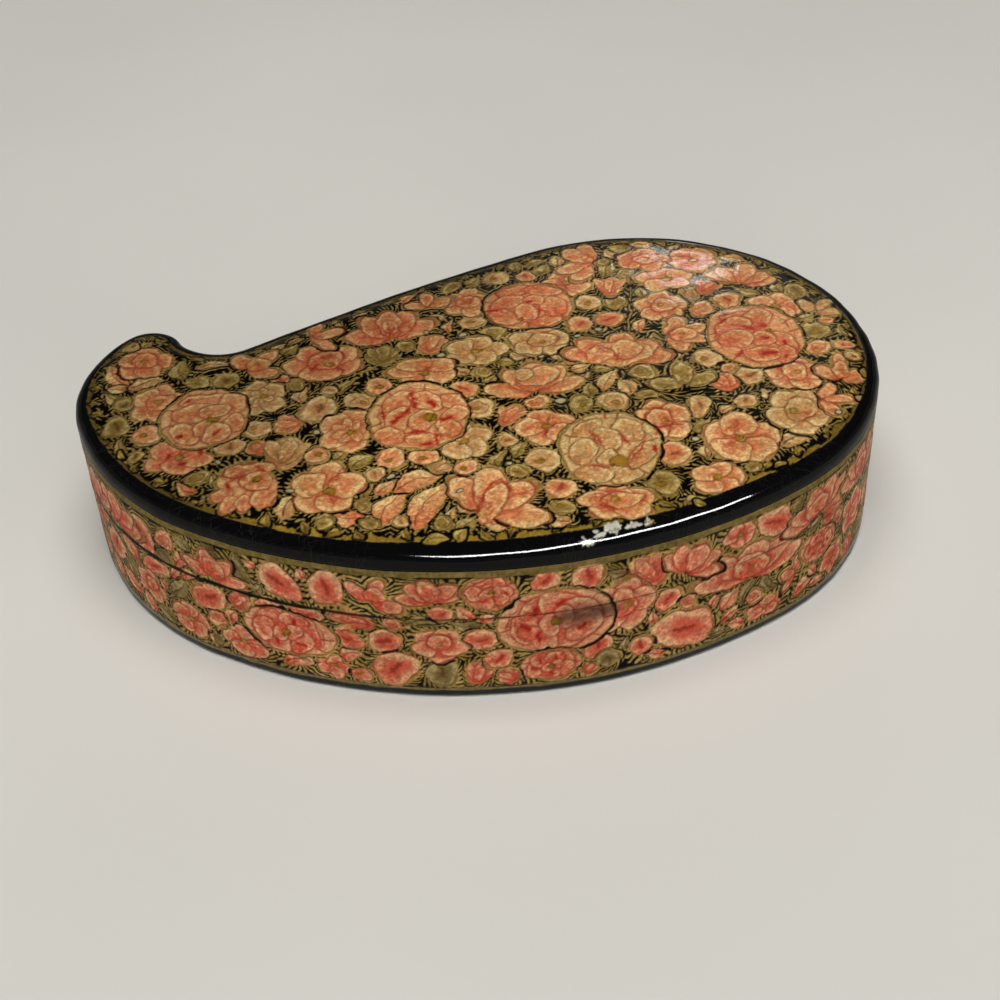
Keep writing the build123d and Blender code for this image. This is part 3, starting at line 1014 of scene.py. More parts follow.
# Where the rim is chipped down to the white ground coat, with no look.
RIM_CHIPS = """
    21.4 -44.3 2.1 0.8 14; 24.4 -43.8 1.3 0.5 30; 19 -45.7 1.8 0.35 25; 17 -46.8 0.9 0.35 10;
    26.6 -43.7 1.2 0.22 10
"""


def black_reach(x, y):
    """How far the black rim reaches in, which is furthest at the front."""
    least, front = in_mm("painting", "black"), in_mm("painting", "front_black")
    return least + front * ease(-22, -38, y) * ease(-32, -4, x)


def border_leaves(ground, outline):
    """Small ochre leaves that grow inwards from the lid's border."""
    random, along = ground.random, 0.0
    while along < outline.length:
        along += random.uniform(4.0, 9.0)
        point, outward = outline.at(np.array([along]))
        x, y = point[0].real, point[0].imag
        deep = black_reach(x, y) + in_mm("painting", "border") + 0.3
        place = point[0] - outward[0] * deep
        turn = np.angle(-outward[0]) + random.choice((-1, 1)) * random.uniform(0.5, 1.1)
        long, wide = random.uniform(1.8, 3.2), random.uniform(0.7, 1.3)
        leaf(ground, place.real, place.imag, long, wide, turn, "ochre")


def painted_lid(outline):
    """The painting of the lid, seen from above."""
    look_names = ("peach", "coral", "cream", "olive", "ochre")
    half = outline.half
    corner = np.array((half.real + 1, half.imag + 1))
    ground = Ground(-corner, corner, looks_for(look_names), settings("painting").seed)
    x, y = ground.x[None, :], ground.y[:, None]
    inset = outline.inset(x, y)
    black = black_reach(x, y)
    back = np.maximum(ease(-24, 18, y + 0.35 * x), 0.8 * ease(-36, -58, x))
    inner = black + in_mm("painting", "border") * (1 - 0.45 * back)
    wander = cloud(ground.random, inset.shape, 2.4 / ground.cell)
    everywhere, loose = np.s_[:, :], (wander - 0.5 + 0.6 * (ground.grit - 0.5)) * (1 - 0.5 * back)
    ochre = paint_called("ochre")
    border = mixed(ochre * 0.78, ochre * 1.22, 0.6 * ground.grit + 0.4 * wander)
    border *= (1 - 0.35 * back)[..., None]
    ground.cover(everywhere, inset - inner - loose, border)
    border_leaves(ground, outline)
    for points in read(LID_STEMS):
        stroke(ground, np.reshape(points, (3, 2)), 0.36, paint_called("stem"))
    for kind, motifs in LID_MOTIFS.items():
        for motif in read(motifs):
            lay(ground, kind, *motif)
    for x_at, y_at, long, wide, turn, look_name in read(LID_PETALS):
        part, u, v = ground.around(x_at, y_at, long + 1)
        p, q = turned(u, v, radians(turn))
        petal(ground, part, p + long, q, (2 * long, 2 * wide), ground.looks[look_name], 0.15, 0.6)
    for whole, petals, blots, middle in LID_ROSES:
        rose(ground, *read(whole)[0], read(petals), read(blots), read(middle)[0])
    for x_at, y_at, long, wide, turn in read(LID_VEINS):
        ground.mark(x_at, y_at, long, wide, radians(turn), paint_called("red") * 0.8, 0.8)
    for place in read(LID_DOTS):
        dot(ground, *place)
    room = (inset - inner - loose).astype(np.float32)
    fill_gaps(ground, room, ("olive", "cream", "olive", "peach"), least=1.3)
    ground.redrawn()
    hatch(ground, room, broad=0.5, reach=1)
    age(ground, specks=1500)
    # Painted shade: the lid's painting is made a little darker all over, and darker still towards the left and the
    # back, where less light falls on the lid.
    ground.colour *= 0.965 - 0.19 * ease(-2, 26, 0.6 * y - 0.8 * x)[..., None]
    line = np.abs(inset - black - 0.05) - 0.08 - 0.1 * ground.grit
    ground.cover(everywhere, line, paint_called("hatch"), 0.55 * wander, 0.1)
    rim = inset - black - 0.3 * (wander - 0.5) - 0.2 * (ground.grit - 0.5)
    ground.cover(everywhere, rim, paint_called("rim"))
    ground.near = np.maximum(ground.near, black - inset)
    ground.relief *= ease(black, black + 0.4, inset)
    for spill in read(RIM_SPILLS):
        lay(ground, "leaf", *spill)
    for x, y, long, wide, turn in read(RIM_CHIPS):
        chip(ground, x, y, long, wide, radians(turn))
    return ground


def chip(ground, x, y, long, wide, turn):
    """A chip in the rim, with a ragged edge and a few black flakes left in it."""
    part, u, v = ground.around(x, y, long + 1.5)
    p, q = turned(u, v, turn)
    depth = oval(p, q, long, wide, ground.random, 0, 0.15)
    depth = depth + 0.5 * (ground.grit[part] - 0.5) + 0.9 * (ground.hand[part] - 0.5)
    white = paint_called("ground_coat")
    ground.cover(part, depth - 0.1, white * 0.45)
    ground.cover(part, depth, mixed(white * 0.82, white, ground.hand[part]))
    ground.relief[part] = np.minimum(ground.relief[part], -2.4 * ease(0.1, -0.25, depth))


# The sides, unrolled from where the front begins, so that a place is along and up.
SIDE_MOTIFS = {
    "leaf": """
    8.6 24.2 6.4 3.2 105 moss; 27.4 8.8 5.2 3 20 side; 17.4 5.2 6.6 3 15 side;
    81.2 4.2 5.4 2.2 165 side; 96.4 7.2 5.6 2.6 20 side; 113.2 5.4 5.4 3 20 side;
    48 17.4 5 2.2 170 moss; 40.4 18 6 2 8 moss; 8 19.8 4 1.6 10 moss; -4 21.4 5.6 3 30 side;
    92.4 12.2 3.6 1.8 60 side; 66 8.6 3.4 1.6 150 moss; 75.6 8.6 3 1.8 80 moss; 99.4 11.2 6.4 2 60 moss;
    104 11.4 6 2 110 moss; 74.6 25 4.6 2 170 moss
""",
    "bud": """
    15.8 23.6 4.2 3.4 140 side heart; 24.6 24.2 3.8 3.1 90 side heart; 62 26.6 2.6 2.2 40 side heart;
    69 26 3 2.7 90 side heart; 79.6 24.2 4 2.6 130 side tulip; 104.2 25 4.4 3 150 side heart;
    122.4 26.4 1.5 1.4 0 moss heart; 33.6 13.2 3 2.5 170 side heart; 35.6 7 4.6 3.6 35 side heart;
    43.4 6.3 3.2 2.8 90 moss heart; 50.8 13.8 2.8 2.5 0 side heart; 50 6 2.8 2 80 side tulip;
    53.6 9.3 2.6 2.2 30 side heart; 70.6 9.6 3 2.7 70 side heart; 83.6 16.4 2.5 2.4 45 side heart;
    86.2 8.2 6.2 4.4 155 side heart; 78.6 7 2 2.2 90 side heart; 27.2 12.8 2.7 1.9 150 side heart;
    13.4 17 3 1.5 0 side heart; 20.6 17 3.4 1.7 0 side heart; 28.4 17.4 3.8 1.6 170 side tulip;
    1.2 15.2 4.2 2.8 20 side heart; -12 16.2 3.6 2 10 side heart; -14 22.6 4 3.4 100 side heart;
    -26 13 4 3.4 45 side heart; 72.6 5.6 2 2 90 moss heart
""",
    "blossom": """
    75.6 17.4 5 6 80 side cup; 43.4 12.6 4.6 3.8 60 side cup; 7 6.4 4.8 3.6 30 side dot;
    24 5.3 3 2.5 0 side dot; -5 7 4.4 3.8 20 side dot; 97 25.4 3.2 2.8 40 side dot;
    103.6 5.3 4 2.3 10 side dot; 121.2 6.8 3.4 3.2 50 side dot; 128.6 13.2 4.8 4.4 0 side cup;
    -15 10 4 3.4 70 side cup; 150 22.4 5 4.4 20 side cup; 190 8 5 4 0 side dot;
    206 20 5.2 5 40 side cup; 226 10 5 4.6 60 side dot; 268 9 5 4.4 15 side cup;
    286 21 5 4.6 30 side dot; 330 21 5 4.6 75 side cup
""",
    "fan": """
    100 18 8.8 5 85 side 5 1; 88.4 23.6 4.8 3.8 60 side 5 0; 42.4 24.8 4.6 3.2 95 side 5 0;
    33.4 24.2 3.8 3.4 60 side 3 1; 114.6 23.8 6.2 3.9 110 side 5 1; 3 23 4.8 3.8 80 side 4 1;
    -22 23.6 6 4 80 side 5 0; 130.4 23.6 6.4 4.4 95 side 5 1; 109 10.4 3.2 2.3 160 side 3 0;
    158 8 5 4.2 100 side 5 1; 186 22 5 4.2 80 side 5 0; 226 23 5.4 4 90 side 5 1;
    268 22.6 5.4 4.2 70 side 5 0; 292 8 5 4 90 side 4 1; 334 7.6 5.2 4 80 side 5 1;
    370 23 5 4 100 side 5 0
""",
    "loose_rose": """
    63.5 16.6 10.2 7.4 30 side 6; 16.2 11.8 8.8 5.2 10 side 5; 52.6 24.4 4.8 3.8 0 side 5;
    62.4 6.4 5.4 3.5 20 side 5; 116.4 13.2 4.8 3.8 60 side 5; 172 14 8.4 6.8 20 side 5;
    246 16 8.8 7 50 side 6; 310 12 7.6 5.8 0 side 5; 352 15 7.2 6.6 30 side 5
""",
}
# How far the unrolled painting runs past its two ends, so that its motifs meet there.
OVERLAP = 14.0
# A brown smudge on the seam: place, half sizes and colour.
STAIN = ((68.6, 17.4), (5.0, 1.7), (0.22, 0.14, 0.11))


def painted_side(outline):
    """The painting of the walls, unrolled, with its two ends meeting."""
    corner = (outline.length + OVERLAP, BOARD_UNDER + 1.0)
    seed = settings("painting").seed + 1
    ground = Ground((-OVERLAP, -1.0), corner, looks_for(("side", "moss")), seed)
    height = ground.y[:, None] + 0 * ground.x[None, :]
    shape, everywhere = height.shape, np.s_[:, :]
    wander = cloud(ground.random, shape, 2.4 / ground.cell)
    mottled = cloud(ground.random, shape, 0.5 / ground.cell)
    foot = in_mm("painting", "foot_black")
    low = foot + in_mm("painting", "lower_band")
    high = BOARD_UNDER - in_mm("painting", "upper_band")
    dim = paint_called("ochre") * (0.56, 0.58, 0.7)
    ochre = mixed(dim, paint_called("ochre") * (0.98, 1.02, 1.5), 0.6 * mottled + 0.4 * wander)
    for kind, motifs in SIDE_MOTIFS.items():
        for along, *rest in read(motifs):
            for lap in (-outline.length, 0, outline.length):
                place = along % outline.length + lap
                if -OVERLAP < place < outline.length + OVERLAP:
                    lay(ground, kind, place, *rest)
    room = np.minimum(height - low, high - height).astype(np.float32)
    beyond = np.minimum(ground.x + 4, outline.length + 4 - ground.x)[None, :]
    fill_gaps(ground, np.minimum(room, beyond), ("side", "moss", "side"), least=1.2)
    ground.redrawn()
    hatch(ground, room, broad=0.7, reach=1.4)
    place, half_sizes, brown = STAIN
    stain = oval(ground.x[None, :] - place[0], height - place[1], *half_sizes, ground.random)
    ground.colour = mixed(ground.colour, np.array(brown), 0.6 * ease(1.6, -1.2, stain))
    age(ground, specks=4200)
    # Painted shade and grime at the seam: a black line along the joint of lid and base stands for the shade in the gap
    # and for dark grime in the joint. It is wider and darker at the front left, where the gap opens.
    along = (ground.x[None, :] + 40) % outline.length - 40
    open_gap_shade = ease(64, 8, along) * ease(-60, -30, along)
    line = np.abs(height - SEAM) - 0.13 - 0.24 * open_gap_shade - 0.16 * (wander - 0.5)
    ground.cover(everywhere, line, ground.black, 0.4 + 0.5 * open_gap_shade + 0.25 * (wander - 0.5), 0.06)
    band = np.minimum(height - low, high - height) + 0.5 * (wander - 0.5)
    ground.cover(everywhere, band, ochre)
    ground.cover(everywhere, np.abs(height - high + 0.1) - 0.08, ground.black, 0.6 * wander)
    ground.cover(everywhere, height - foot - 0.3 * (wander - 0.5), paint_called("rim"))
    return ground


def softened(values):
    """A painting averaged over neighbouring cells, so that points spaced wider catch every line."""
    extra = values.copy()
    total = 8 * values[1:-1, 1:-1] + values[:-2, 1:-1] + values[2:, 1:-1]
    extra[1:-1, 1:-1] = (total + values[1:-1, :-2] + values[1:-1, 2:]) / 12
    return extra


def linear(shown):
    """Screen colours as light values."""
    shown = np.clip(shown, 0, 1)
    return np.where(shown <= 0.04045, shown / 12.92, ((shown + 0.055) / 1.055) ** 2.4)


# Meshes. Edges that turn by more than this are drawn sharp, and faces that carry no painting have
# points this many millimetres apart.
SHARP_EDGE = radians(34)
HIDDEN_STEP = 3


class Shell:
    """The points and faces of a piece, with the colour and the bake place of every corner."""

    def __init__(self, outline):
        self.outline = outline
        self.points, self.paints = [], []
        self.faces, self.places = [], []
        self.count = 0

    def add(self, points, paints):
        """Adds points in millimetres, with their paints, and returns their numbers."""
        first = self.count
        self.points.append(points)
        self.paints.append(paints)
        self.count += len(points)
        return np.arange(first, self.count)

    def join(self, faces, places):
        """Adds faces of three or four corners. Every corner has a place on the bake map."""
        if len(faces):
            self.faces.append(faces)
            self.places.append(places)

    def made(self, name, material, slot):
        """The finished object."""
        mesh = bpy.data.meshes.new(name)
        points = np.concatenate(self.points) * MM
        mesh.vertices.add(len(points))
        mesh.vertices.foreach_set("co", points.astype(np.float32).ravel())
        corners = np.concatenate([faces.ravel() for faces in self.faces])
        sizes = np.concatenate([np.full(len(faces), faces.shape[1]) for faces in self.faces])
        mesh.loops.add(len(corners))
        mesh.loops.foreach_set("vertex_index", corners.astype(np.int32))
        mesh.polygons.add(len(sizes))
        starts = np.concatenate([[0], np.cumsum(sizes)[:-1]])
        mesh.polygons.foreach_set("loop_start", starts.astype(np.int32))
        mesh.polygons.foreach_set("use_smooth", np.ones(len(sizes), bool))
        mesh.update(calc_edges=True)
        mesh.set_sharp_from_angle(angle=SHARP_EDGE)
        bake = mesh.uv_layers.new(name="OFBake")
        places = np.concatenate([place.reshape(-1, 2) for place in self.places])
        bake.data.foreach_set("uv", places.astype(np.float32).ravel())
        colours = mesh.color_attributes.new(name="Paint", type="FLOAT_COLOR", domain="POINT")
        paints = np.concatenate(self.paints)
        paints = np.concatenate([linear(paints[:, :3]), paints[:, 3:]], axis=1)
        colours.data.foreach_set("color", paints.astype(np.float32).ravel())
        mesh.materials.append(material)
        piece = linked(name, mesh)
        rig.slot(piece, slot)
        return piece


def rounded(corners, pitch):
    """A closed section from corners given as inset, height and radius. Faces at inset 0 are dense."""
    corners = np.array(corners)
    places, radii = corners[:, 0] + 1j * corners[:, 1], corners[:, 2]
    section = []
    for index, (place, radius) in enumerate(zip(places, radii)):
        follower = (index + 1) % len(places)
        before = (places[index - 1] - place) / abs(places[index - 1] - place)
        after = (places[follower] - place) / abs(places[follower] - place)
        for t in np.linspace(0, pi / 2, max(3, ceil(radius * 1.6 / pitch))):
            section.append(place + radius * ((1 - np.sin(t)) * before + (1 - np.cos(t)) * after))
        start, end = section[-1], places[follower] - radii[follower] * after
        step = pitch if max(start.real, end.real) < 0.01 else HIDDEN_STEP
        section.extend(np.linspace(start, end, max(2, ceil(abs(end - start) / step)))[1:-1])
    return np.array(section)


def stations(outline, pitch):
    """Lengths along the outline, evenly spaced, in a number that four rows of the map can share."""
    count = 4 * ceil(outline.length / pitch / 4)
    return np.arange(count) * outline.length / count


# Waves in hand-laid paper, in turns per millimetre, and the seed for their directions.
PAPER_WAVES = (0.055, 0.09, 0.16, 0.27)
PAPER_SEED = 3


def uneven(points, amount):
    """A smooth wander of hand-laid paper, in millimetres, at points in space."""
    random = np.random.default_rng(PAPER_SEED)
    total = 0
    for wave in PAPER_WAVES:
        direction = random.normal(size=3)
        direction *= wave * 2 * pi / np.linalg.norm(direction)
        total = total + np.sin(points @ direction + random.uniform(0, 2 * pi)) * (0.05 / wave) ** 0.7
    return amount * total / 2


def push(solid, outward, amount):
    """Moves columns of points outwards from the outline."""
    solid[..., 0] += amount * outward.real[:, None]
    solid[..., 1] += amount * outward.imag[:, None]


def closed_round(columns_of_values):
    """Columns round the outline with the first one again at the end."""
    return np.concatenate([columns_of_values, columns_of_values[:1]])


def cornered(grid):
    """The four corners of every cell of a grid, in order round it."""
    return np.stack([grid[:-1, :-1], grid[1:, :-1], grid[1:, 1:], grid[:-1, 1:]], axis=2)


def opaque(colour):
    """Colours with a full alpha."""
    return np.concatenate([colour, np.ones(colour.shape[:-1] + (1,))], axis=-1)


def ring(shell, section, along, ground, inner_scale, closed=True, high=0.99):
    """Sweeps a section round the outline. Bake places fold the strip into four rows."""
    outline, count, rows = shell.outline, len(along), len(section)
    points, outward = outline.at(along)
    plan = points[:, None] - outward[:, None] * section.real[None, :]
    height = np.broadcast_to(section.imag, plan.shape)
    outer = section.real < 0.03
    solid = np.stack([plan.real, plan.imag, height], axis=-1)
    push(solid, outward, uneven(solid, in_mm("shell", "unevenness")))
    paints = np.zeros(plan.shape + (4,))
    paints[..., :3] = paint_called("rim")
    grid = np.broadcast_to(along[:, None], plan.shape)
    colour, relief = ground.sampled(grid[:, outer], height[:, outer])
    paints[:, outer] = opaque(colour)
    proud = np.zeros(plan.shape)
    proud[:, outer] = relief * in_mm("shell", "relief")
    push(solid, outward, proud)
    numbers = shell.add(solid.reshape(-1, 3), paints.reshape(-1, 4)).reshape(count, rows)
    wrapped = closed_round(numbers)
    if closed:
        wrapped = np.concatenate([wrapped, wrapped[:, :1]], axis=1)
        section = np.append(section, section[0])
    faces = cornered(wrapped)
    steps = np.abs(np.diff(section))
    outside = (section.real[:-1] < 0.5) & (section.real[1:] < 0.5)
    up = np.concatenate([[0], np.cumsum(np.where(outside, steps, steps * inner_scale))])
    up = 0.005 + (high / 4 - 0.01) * up / up[-1]
    quarter = count // 4
    fold = np.arange(count) // quarter
    left = 0.005 + 0.99 * (np.arange(count) % quarter) / quarter
    right = left + 0.99 / quarter
    u = np.stack([left, right, right, left], axis=-1)[:, None, :] + np.zeros((1, len(steps), 1))
    v = np.stack([up[:-1], up[:-1], up[1:], up[1:]], axis=-1)[None, :, :] + high / 4 * fold[:, None, None]
    shell.join(faces.reshape(-1, 4), np.stack([u, v], axis=-1).reshape(-1, 4, 2))
    return numbers


def triangulated(plan, edges=()):
    """Delaunay triangles inside a loop of places, counter-clockwise, as numbers of the places.

    The places come in order round the loop unless edges are given.
    """
    flat = [Vector((float(place.real), float(place.imag))) for place in plan]
    edges = edges or loop_edges(len(flat))
    _, _, faces, source, _, _ = delaunay_2d_cdt(flat, edges, [], 1, 1e-6)
    names = [origin[0] for origin in source]
    return np.array([[names[i] for i in face] for face in faces if len(face) == 3])


def loop_edges(count):
    """The edges of a closed loop of points."""
    return [(i, (i + 1) % count) for i in range(count)]


class Crown:
    """The gentle rise of the lid inside its rolled rim."""

    def __init__(self, outline):
        self.outline = outline
        self.roll, self.swell = in_mm("shell", "roll"), in_mm("shell", "swell")
        self.crown = in_mm("shell", "crown")
        points, outward = outline.at(stations(outline, 0.4))
        self.edge = points - outward * self.roll
        self.full = self.fullness(np.array([25.0]), np.array([0.0]))[0]

    def fullness(self, x, y):
        """A smooth measure that is nothing at the rim and grows towards the middle."""
        total = np.zeros(np.shape(x))
        for place in self.edge:
            total += 1 / ((x - place.real) ** 2 + (y - place.imag) ** 2 + 1e-3)
        return 1 / total

    def height(self, x, y, inset):
        """The height of the lid in millimetres, at and inside the end of the roll."""
        rise = self.swell * (1 - np.exp(-np.maximum(inset - self.roll, 0) / 1.3))
        end = LID_TOP - self.swell
        return end + rise + self.crown * self.fullness(x, y) / self.full


class LidShell(Shell):
    """The lid's board in the making, with its painting, its rise and its bake map."""

    def __init__(self, outline, ground):
        super().__init__(outline)
        self.ground, self.crown = ground, Crown(outline)
        self.pitch = in_mm("shell", "mesh")
        self.spring = LID_TOP - self.crown.swell - self.crown.roll
        self.map_scale = 0.99 / (2 * (outline.half.real + 2.8))

    def painted(self, plan, height):
        """The points, the paints and the wander of places seen from above."""
        colour, relief = self.ground.sampled(plan.real, plan.imag)
        raised = height + relief * in_mm("shell", "relief")
        solid = np.stack([plan.real, plan.imag, raised], axis=-1)
        wander = uneven(solid, in_mm("shell", "unevenness"))
        solid[..., 2] += 0.8 * wander * (height > self.spring)
        return solid, opaque(colour), wander

    def placed(self, plan, scale=1.0, middle=(0.5, 0.335)):
        """Where places seen from above lie on the bake map."""
        u, v = plan.real * self.map_scale * scale, plan.imag * self.map_scale * scale
        return np.stack([middle[0] + u, middle[1] + v], axis=-1)

    def add_rim(self):
        """Adds the rolled rim and the first of the crown, as far in as the inset it returns."""
        roll, pitch, outline = self.crown.roll, self.pitch, self.outline
        points, outward = outline.at(stations(outline, pitch))
        turns = np.linspace(0, pi / 2, ceil(roll * 1.8 / pitch))
        square = 2 / settings("shell").squareness
        inner = np.arange(roll + pitch, roll + 2.6, pitch)
        insets = np.concatenate([[0.3, 0.09, 0], roll - roll * np.cos(turns) ** square, inner])
        foot = BOARD_UNDER + np.array([0, 0.09, 0.3])
        rises = np.concatenate([foot, self.spring + roll * np.sin(turns) ** square, inner * 0])
        unrolled = [[-2.7, -2.5, -2.3], roll * turns - 0.5 * pi * roll + roll, inner]
        plan = points[:, None] - outward[:, None] * insets[None, :]
        height = np.broadcast_to(rises, plan.shape).copy()
        top = np.s_[:, len(insets) - len(inner) - 1 :]
        height[top] = self.crown.height(plan.real[top], plan.imag[top], insets[None, :][top])
        solid, paints, wander = self.painted(plan, height)
        push(solid, outward, wander * np.cos(np.clip(insets / roll, 0, 1) * pi / 2))
        numbers = self.add(solid.reshape(-1, 3), paints.reshape(-1, 4)).reshape(plan.shape)
        spread = self.placed(points[:, None] - outward[:, None] * np.concatenate(unrolled)[None, :])
        faces, places = cornered(closed_round(numbers)), cornered(closed_round(spread))
        self.join(faces.reshape(-1, 4), places.reshape(-1, 4, 2))
        return numbers, plan, insets[-1]

    def add_crown(self, inset):
        """Adds an even grid of points and faces a little further in than an inset."""
        half, pitch = self.outline.half, self.pitch
        xs, ys = np.arange(-half.real, half.real, pitch), np.arange(-half.imag, half.imag, pitch)
        inside = self.outline.inset(xs[None, :], ys[:, None]) > inset + 0.8 * pitch
        cells = inside[:-1, :-1] & inside[1:, :-1] & inside[1:, 1:] & inside[:-1, 1:]
        used = touched(inside, cells)
        spots = xs[np.nonzero(used)[1]] + 1j * ys[np.nonzero(used)[0]]
        depth = self.outline.inset(spots.real, spots.imag)
        height = self.crown.height(spots.real, spots.imag, depth)
        solid, paints, _ = self.painted(spots, height)
        index = np.full(used.shape, -1)
        index[used] = self.add(solid, paints)
        return xs, ys, cells, spots, index

    def add_seam(self, xs, ys, cells, index, loop, plan, inset):
        """Joins the rim's inner loop to the grid with triangles."""
        edge = used_edge(index, cells)
        chosen = np.concatenate([loop, edge])
        number_of = {int(point): place for place, point in enumerate(chosen)}
        inner = [(number_of[a], number_of[b]) for a, b in open_edges(index, cells)]
        triangles = triangulated(plan[chosen], loop_edges(len(loop)) + inner)
        middles = plan[chosen][triangles].mean(axis=1)
        i = np.clip(((middles.imag - ys[0]) / self.pitch).astype(int), 0, cells.shape[0] - 1)
        j = np.clip(((middles.real - xs[0]) / self.pitch).astype(int), 0, cells.shape[1] - 1)
        keep = ~cells[i, j] & (self.outline.inset(middles.real, middles.imag) > inset - 0.02)
        triangles = chosen[triangles[keep]]
        self.join(triangles, self.placed(plan[triangles]))

    def add_underside(self, loop, plan):
        """Closes the board with a flat face."""
        rim = plan[loop]
        triangles = triangulated(rim)[:, ::-1]
        self.join(loop[triangles], self.placed(rim, 0.48, (0.25, 0.835))[triangles])


def lid_board(outline, ground, material):
    """The lid's board: its rolled rim, its painted crown and its black underside."""
    shell = LidShell(outline, ground)
    numbers, plan, inset = shell.add_rim()
    xs, ys, cells, spots, index = shell.add_crown(inset)
    plan = np.concatenate([plan.ravel(), spots])
    corners = [index[:-1, :-1], index[:-1, 1:], index[1:, 1:], index[1:, :-1]]
    quads = np.stack(corners, axis=-1)[cells]
    shell.join(quads, shell.placed(plan[quads]))
    shell.add_seam(xs, ys, cells, index, numbers[:, -1], plan, inset)
    shell.add_underside(numbers[:, 0], plan)
    return shell.made("LidBoard", material, "floral_lacquer")


def touched(points, cells):
    """The points of a grid that are a corner of any of these cells."""
    used = np.zeros_like(points)
    for row, column in ((0, 0), (0, 1), (1, 0), (1, 1)):
        used[row : row + cells.shape[0], column : column + cells.shape[1]] |= cells
    return used


def used_edge(index, cells):
    """The numbers of the grid's points that lie on the edge of the kept cells."""
    free = touched(np.zeros(index.shape, bool), ~cells)
    free[0], free[-1], free[:, 0], free[:, -1] = True, True, True, True
    return index[(index >= 0) & free]


def open_edges(index, cells):
    """The edges of the kept cells that no second kept cell shares."""
    around = np.pad(cells, 1)
    middle = around[1:-1, 1:-1]
    edges = []
    for near, a, b in (
        (around[:-2, 1:-1], index[:-1, :-1], index[:-1, 1:]),
        (around[2:, 1:-1], index[1:, :-1], index[1:, 1:]),
        (around[1:-1, :-2], index[:-1, :-1], index[1:, :-1]),
        (around[1:-1, 2:], index[:-1, 1:], index[1:, 1:]),
    ):
        here = middle & ~near
        edges += list(zip(a[here].tolist(), b[here].tolist()))
    return edges


def wall(outline, name, section, ground, material, inner_scale):
    """A wall that follows the outline, painted outside and black inside."""
    shell = Shell(outline)
    pitch = in_mm("shell", "mesh")
    ring(shell, rounded(section, pitch), stations(outline, pitch), ground, inner_scale)
    return shell.made(name, material, "floral_lacquer")


def level(shell, numbers, corner, size, upwards):
    """Fills a loop of numbered points with one flat face of triangles."""
    points = np.concatenate(shell.points)[numbers]
    triangles = triangulated(points[:, 0] + 1j * points[:, 1])
    if not upwards:
        triangles = triangles[:, ::-1]
    spread = corner + (points[:, :2] / (2 * shell.outline.half.real) + 0.5) * size
    shell.join(numbers[triangles], spread[triangles])


def base_board(outline, ground, material):
    """The base's board: a painted edge that rounds under, and plain black faces."""
    shell = Shell(outline)
    pitch = in_mm("shell", "mesh")
    foot = in_mm("shell", "foot")
    turns = np.linspace(0, pi / 2, ceil(foot * 1.6 / pitch))
    under = foot - foot * np.sin(turns) + 1j * (foot - foot * np.cos(turns))
    up = np.arange(foot + pitch, FLOOR_TOP - 0.5 * pitch, pitch) * 1j
    inwards = np.array([0.4, 2.0, 4.4])
    section = np.concatenate([inwards[::-1] + foot, under, up, inwards * [0, 1, 1] + 1j * FLOOR_TOP])
    numbers = ring(shell, section, stations(outline, pitch), ground, 0.4, closed=False, high=0.52)
    size = 0.45
    level(shell, numbers[:, 0], np.array((0.01, 0.6)), size, False)
    level(shell, numbers[:, -1], np.array((0.51, 0.6)), size, True)
    return shell.made("BaseBoard", material, "black_lacquer")


def collar(outline, material):
    """The black collar that stands inside the base and guides the lid."""
    shell = Shell(outline)
    low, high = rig.box("collar")[0].z / MM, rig.box("collar")[1].z / MM
    outer = in_mm("shell", "collar_gap")
    inner = outer + in_mm("shell", "collar")
    corners = [(inner, low, 0.1), (outer, low, 0.1), (outer, high, 0.5), (inner, high, 0.5)]
    ring(shell, rounded(corners, 0.3), stations(outline, 0.5), Blackened(), 1.0)
    return shell.made("Collar", material, "black_lacquer")


class Blackened:
    """Stands in for a painting on a piece that is black all over."""

    def sampled(self, along, height):
        """Black paint and no relief at these places."""
        return paint_called("rim") + np.zeros(along.shape + (1,)), np.zeros(along.shape)


# Finishes. Light values of the grey in fine scratches and of rubbed black lacquer.
SCRATCH_GREY = (0.55, 0.53, 0.48, 1.0)
RUBBED_BLACK = (0.05, 0.045, 0.04, 1.0)
# The sockets of a Mix node that takes colours.
MIX_SLOTS, MIX_RESULT = (0, 6, 7), 2


class Nodes:
    """Adds nodes to a tree and links them."""

    def __init__(self, tree):
        self.tree = tree

    def add(self, kind, **values):
        """A node with its settings, whose inputs are given with their spaces as underscores."""
        node = self.tree.nodes.new(kind)
        for name, value in values.items():
            if hasattr(node, name):
                setattr(node, name, value)
            else:
                self.put(node.inputs[name.replace("_", " ")], value)
        return node

    def put(self, socket, value):
        """Links an output to a socket or sets the socket's own value."""
        if isinstance(value, bpy.types.NodeSocket):
            self.tree.links.new(value, socket)
        else:
            socket.default_value = value

    def maths(self, operation, first, second=0.0, third=0.0):
        """The result of a Math node."""
        node = self.add("ShaderNodeMath", operation=operation)
        for socket, value in zip(node.inputs, (first, second, third)):
            self.put(socket, value)
        return node.outputs[0]

    def range(self, value, low, high, start, end):
        """A value carried smoothly from one range to another."""
        limits = {"From_Min": low, "From_Max": high, "To_Min": start, "To_Max": end}
        node = self.add("ShaderNodeMapRange", interpolation_type="SMOOTHSTEP", Value=value, **limits)
        return node.outputs["Result"]

    def mix(self, amount, first, second, blend="MIX"):
        """Two colours mixed or multiplied by an amount."""
        node = self.add("ShaderNodeMix", data_type="RGBA", blend_type=blend)
        for slot, value in zip(MIX_SLOTS, (amount, first, second)):
            self.put(node.inputs[slot], value)
        return node.outputs[MIX_RESULT]

    def noise(self, place, scale, detail=3.0, rough=0.5, stretch=None):
        """Noise from about 0 to 1, with lumps as wide as one over the scale, in metres."""
        if stretch is not None:
            place = self.add("ShaderNodeMapping", Vector=place, Scale=stretch).outputs[0]
        kind = "ShaderNodeTexNoise"
        return self.add(kind, Vector=place, Scale=scale, Detail=detail, Roughness=rough).outputs["Fac"]


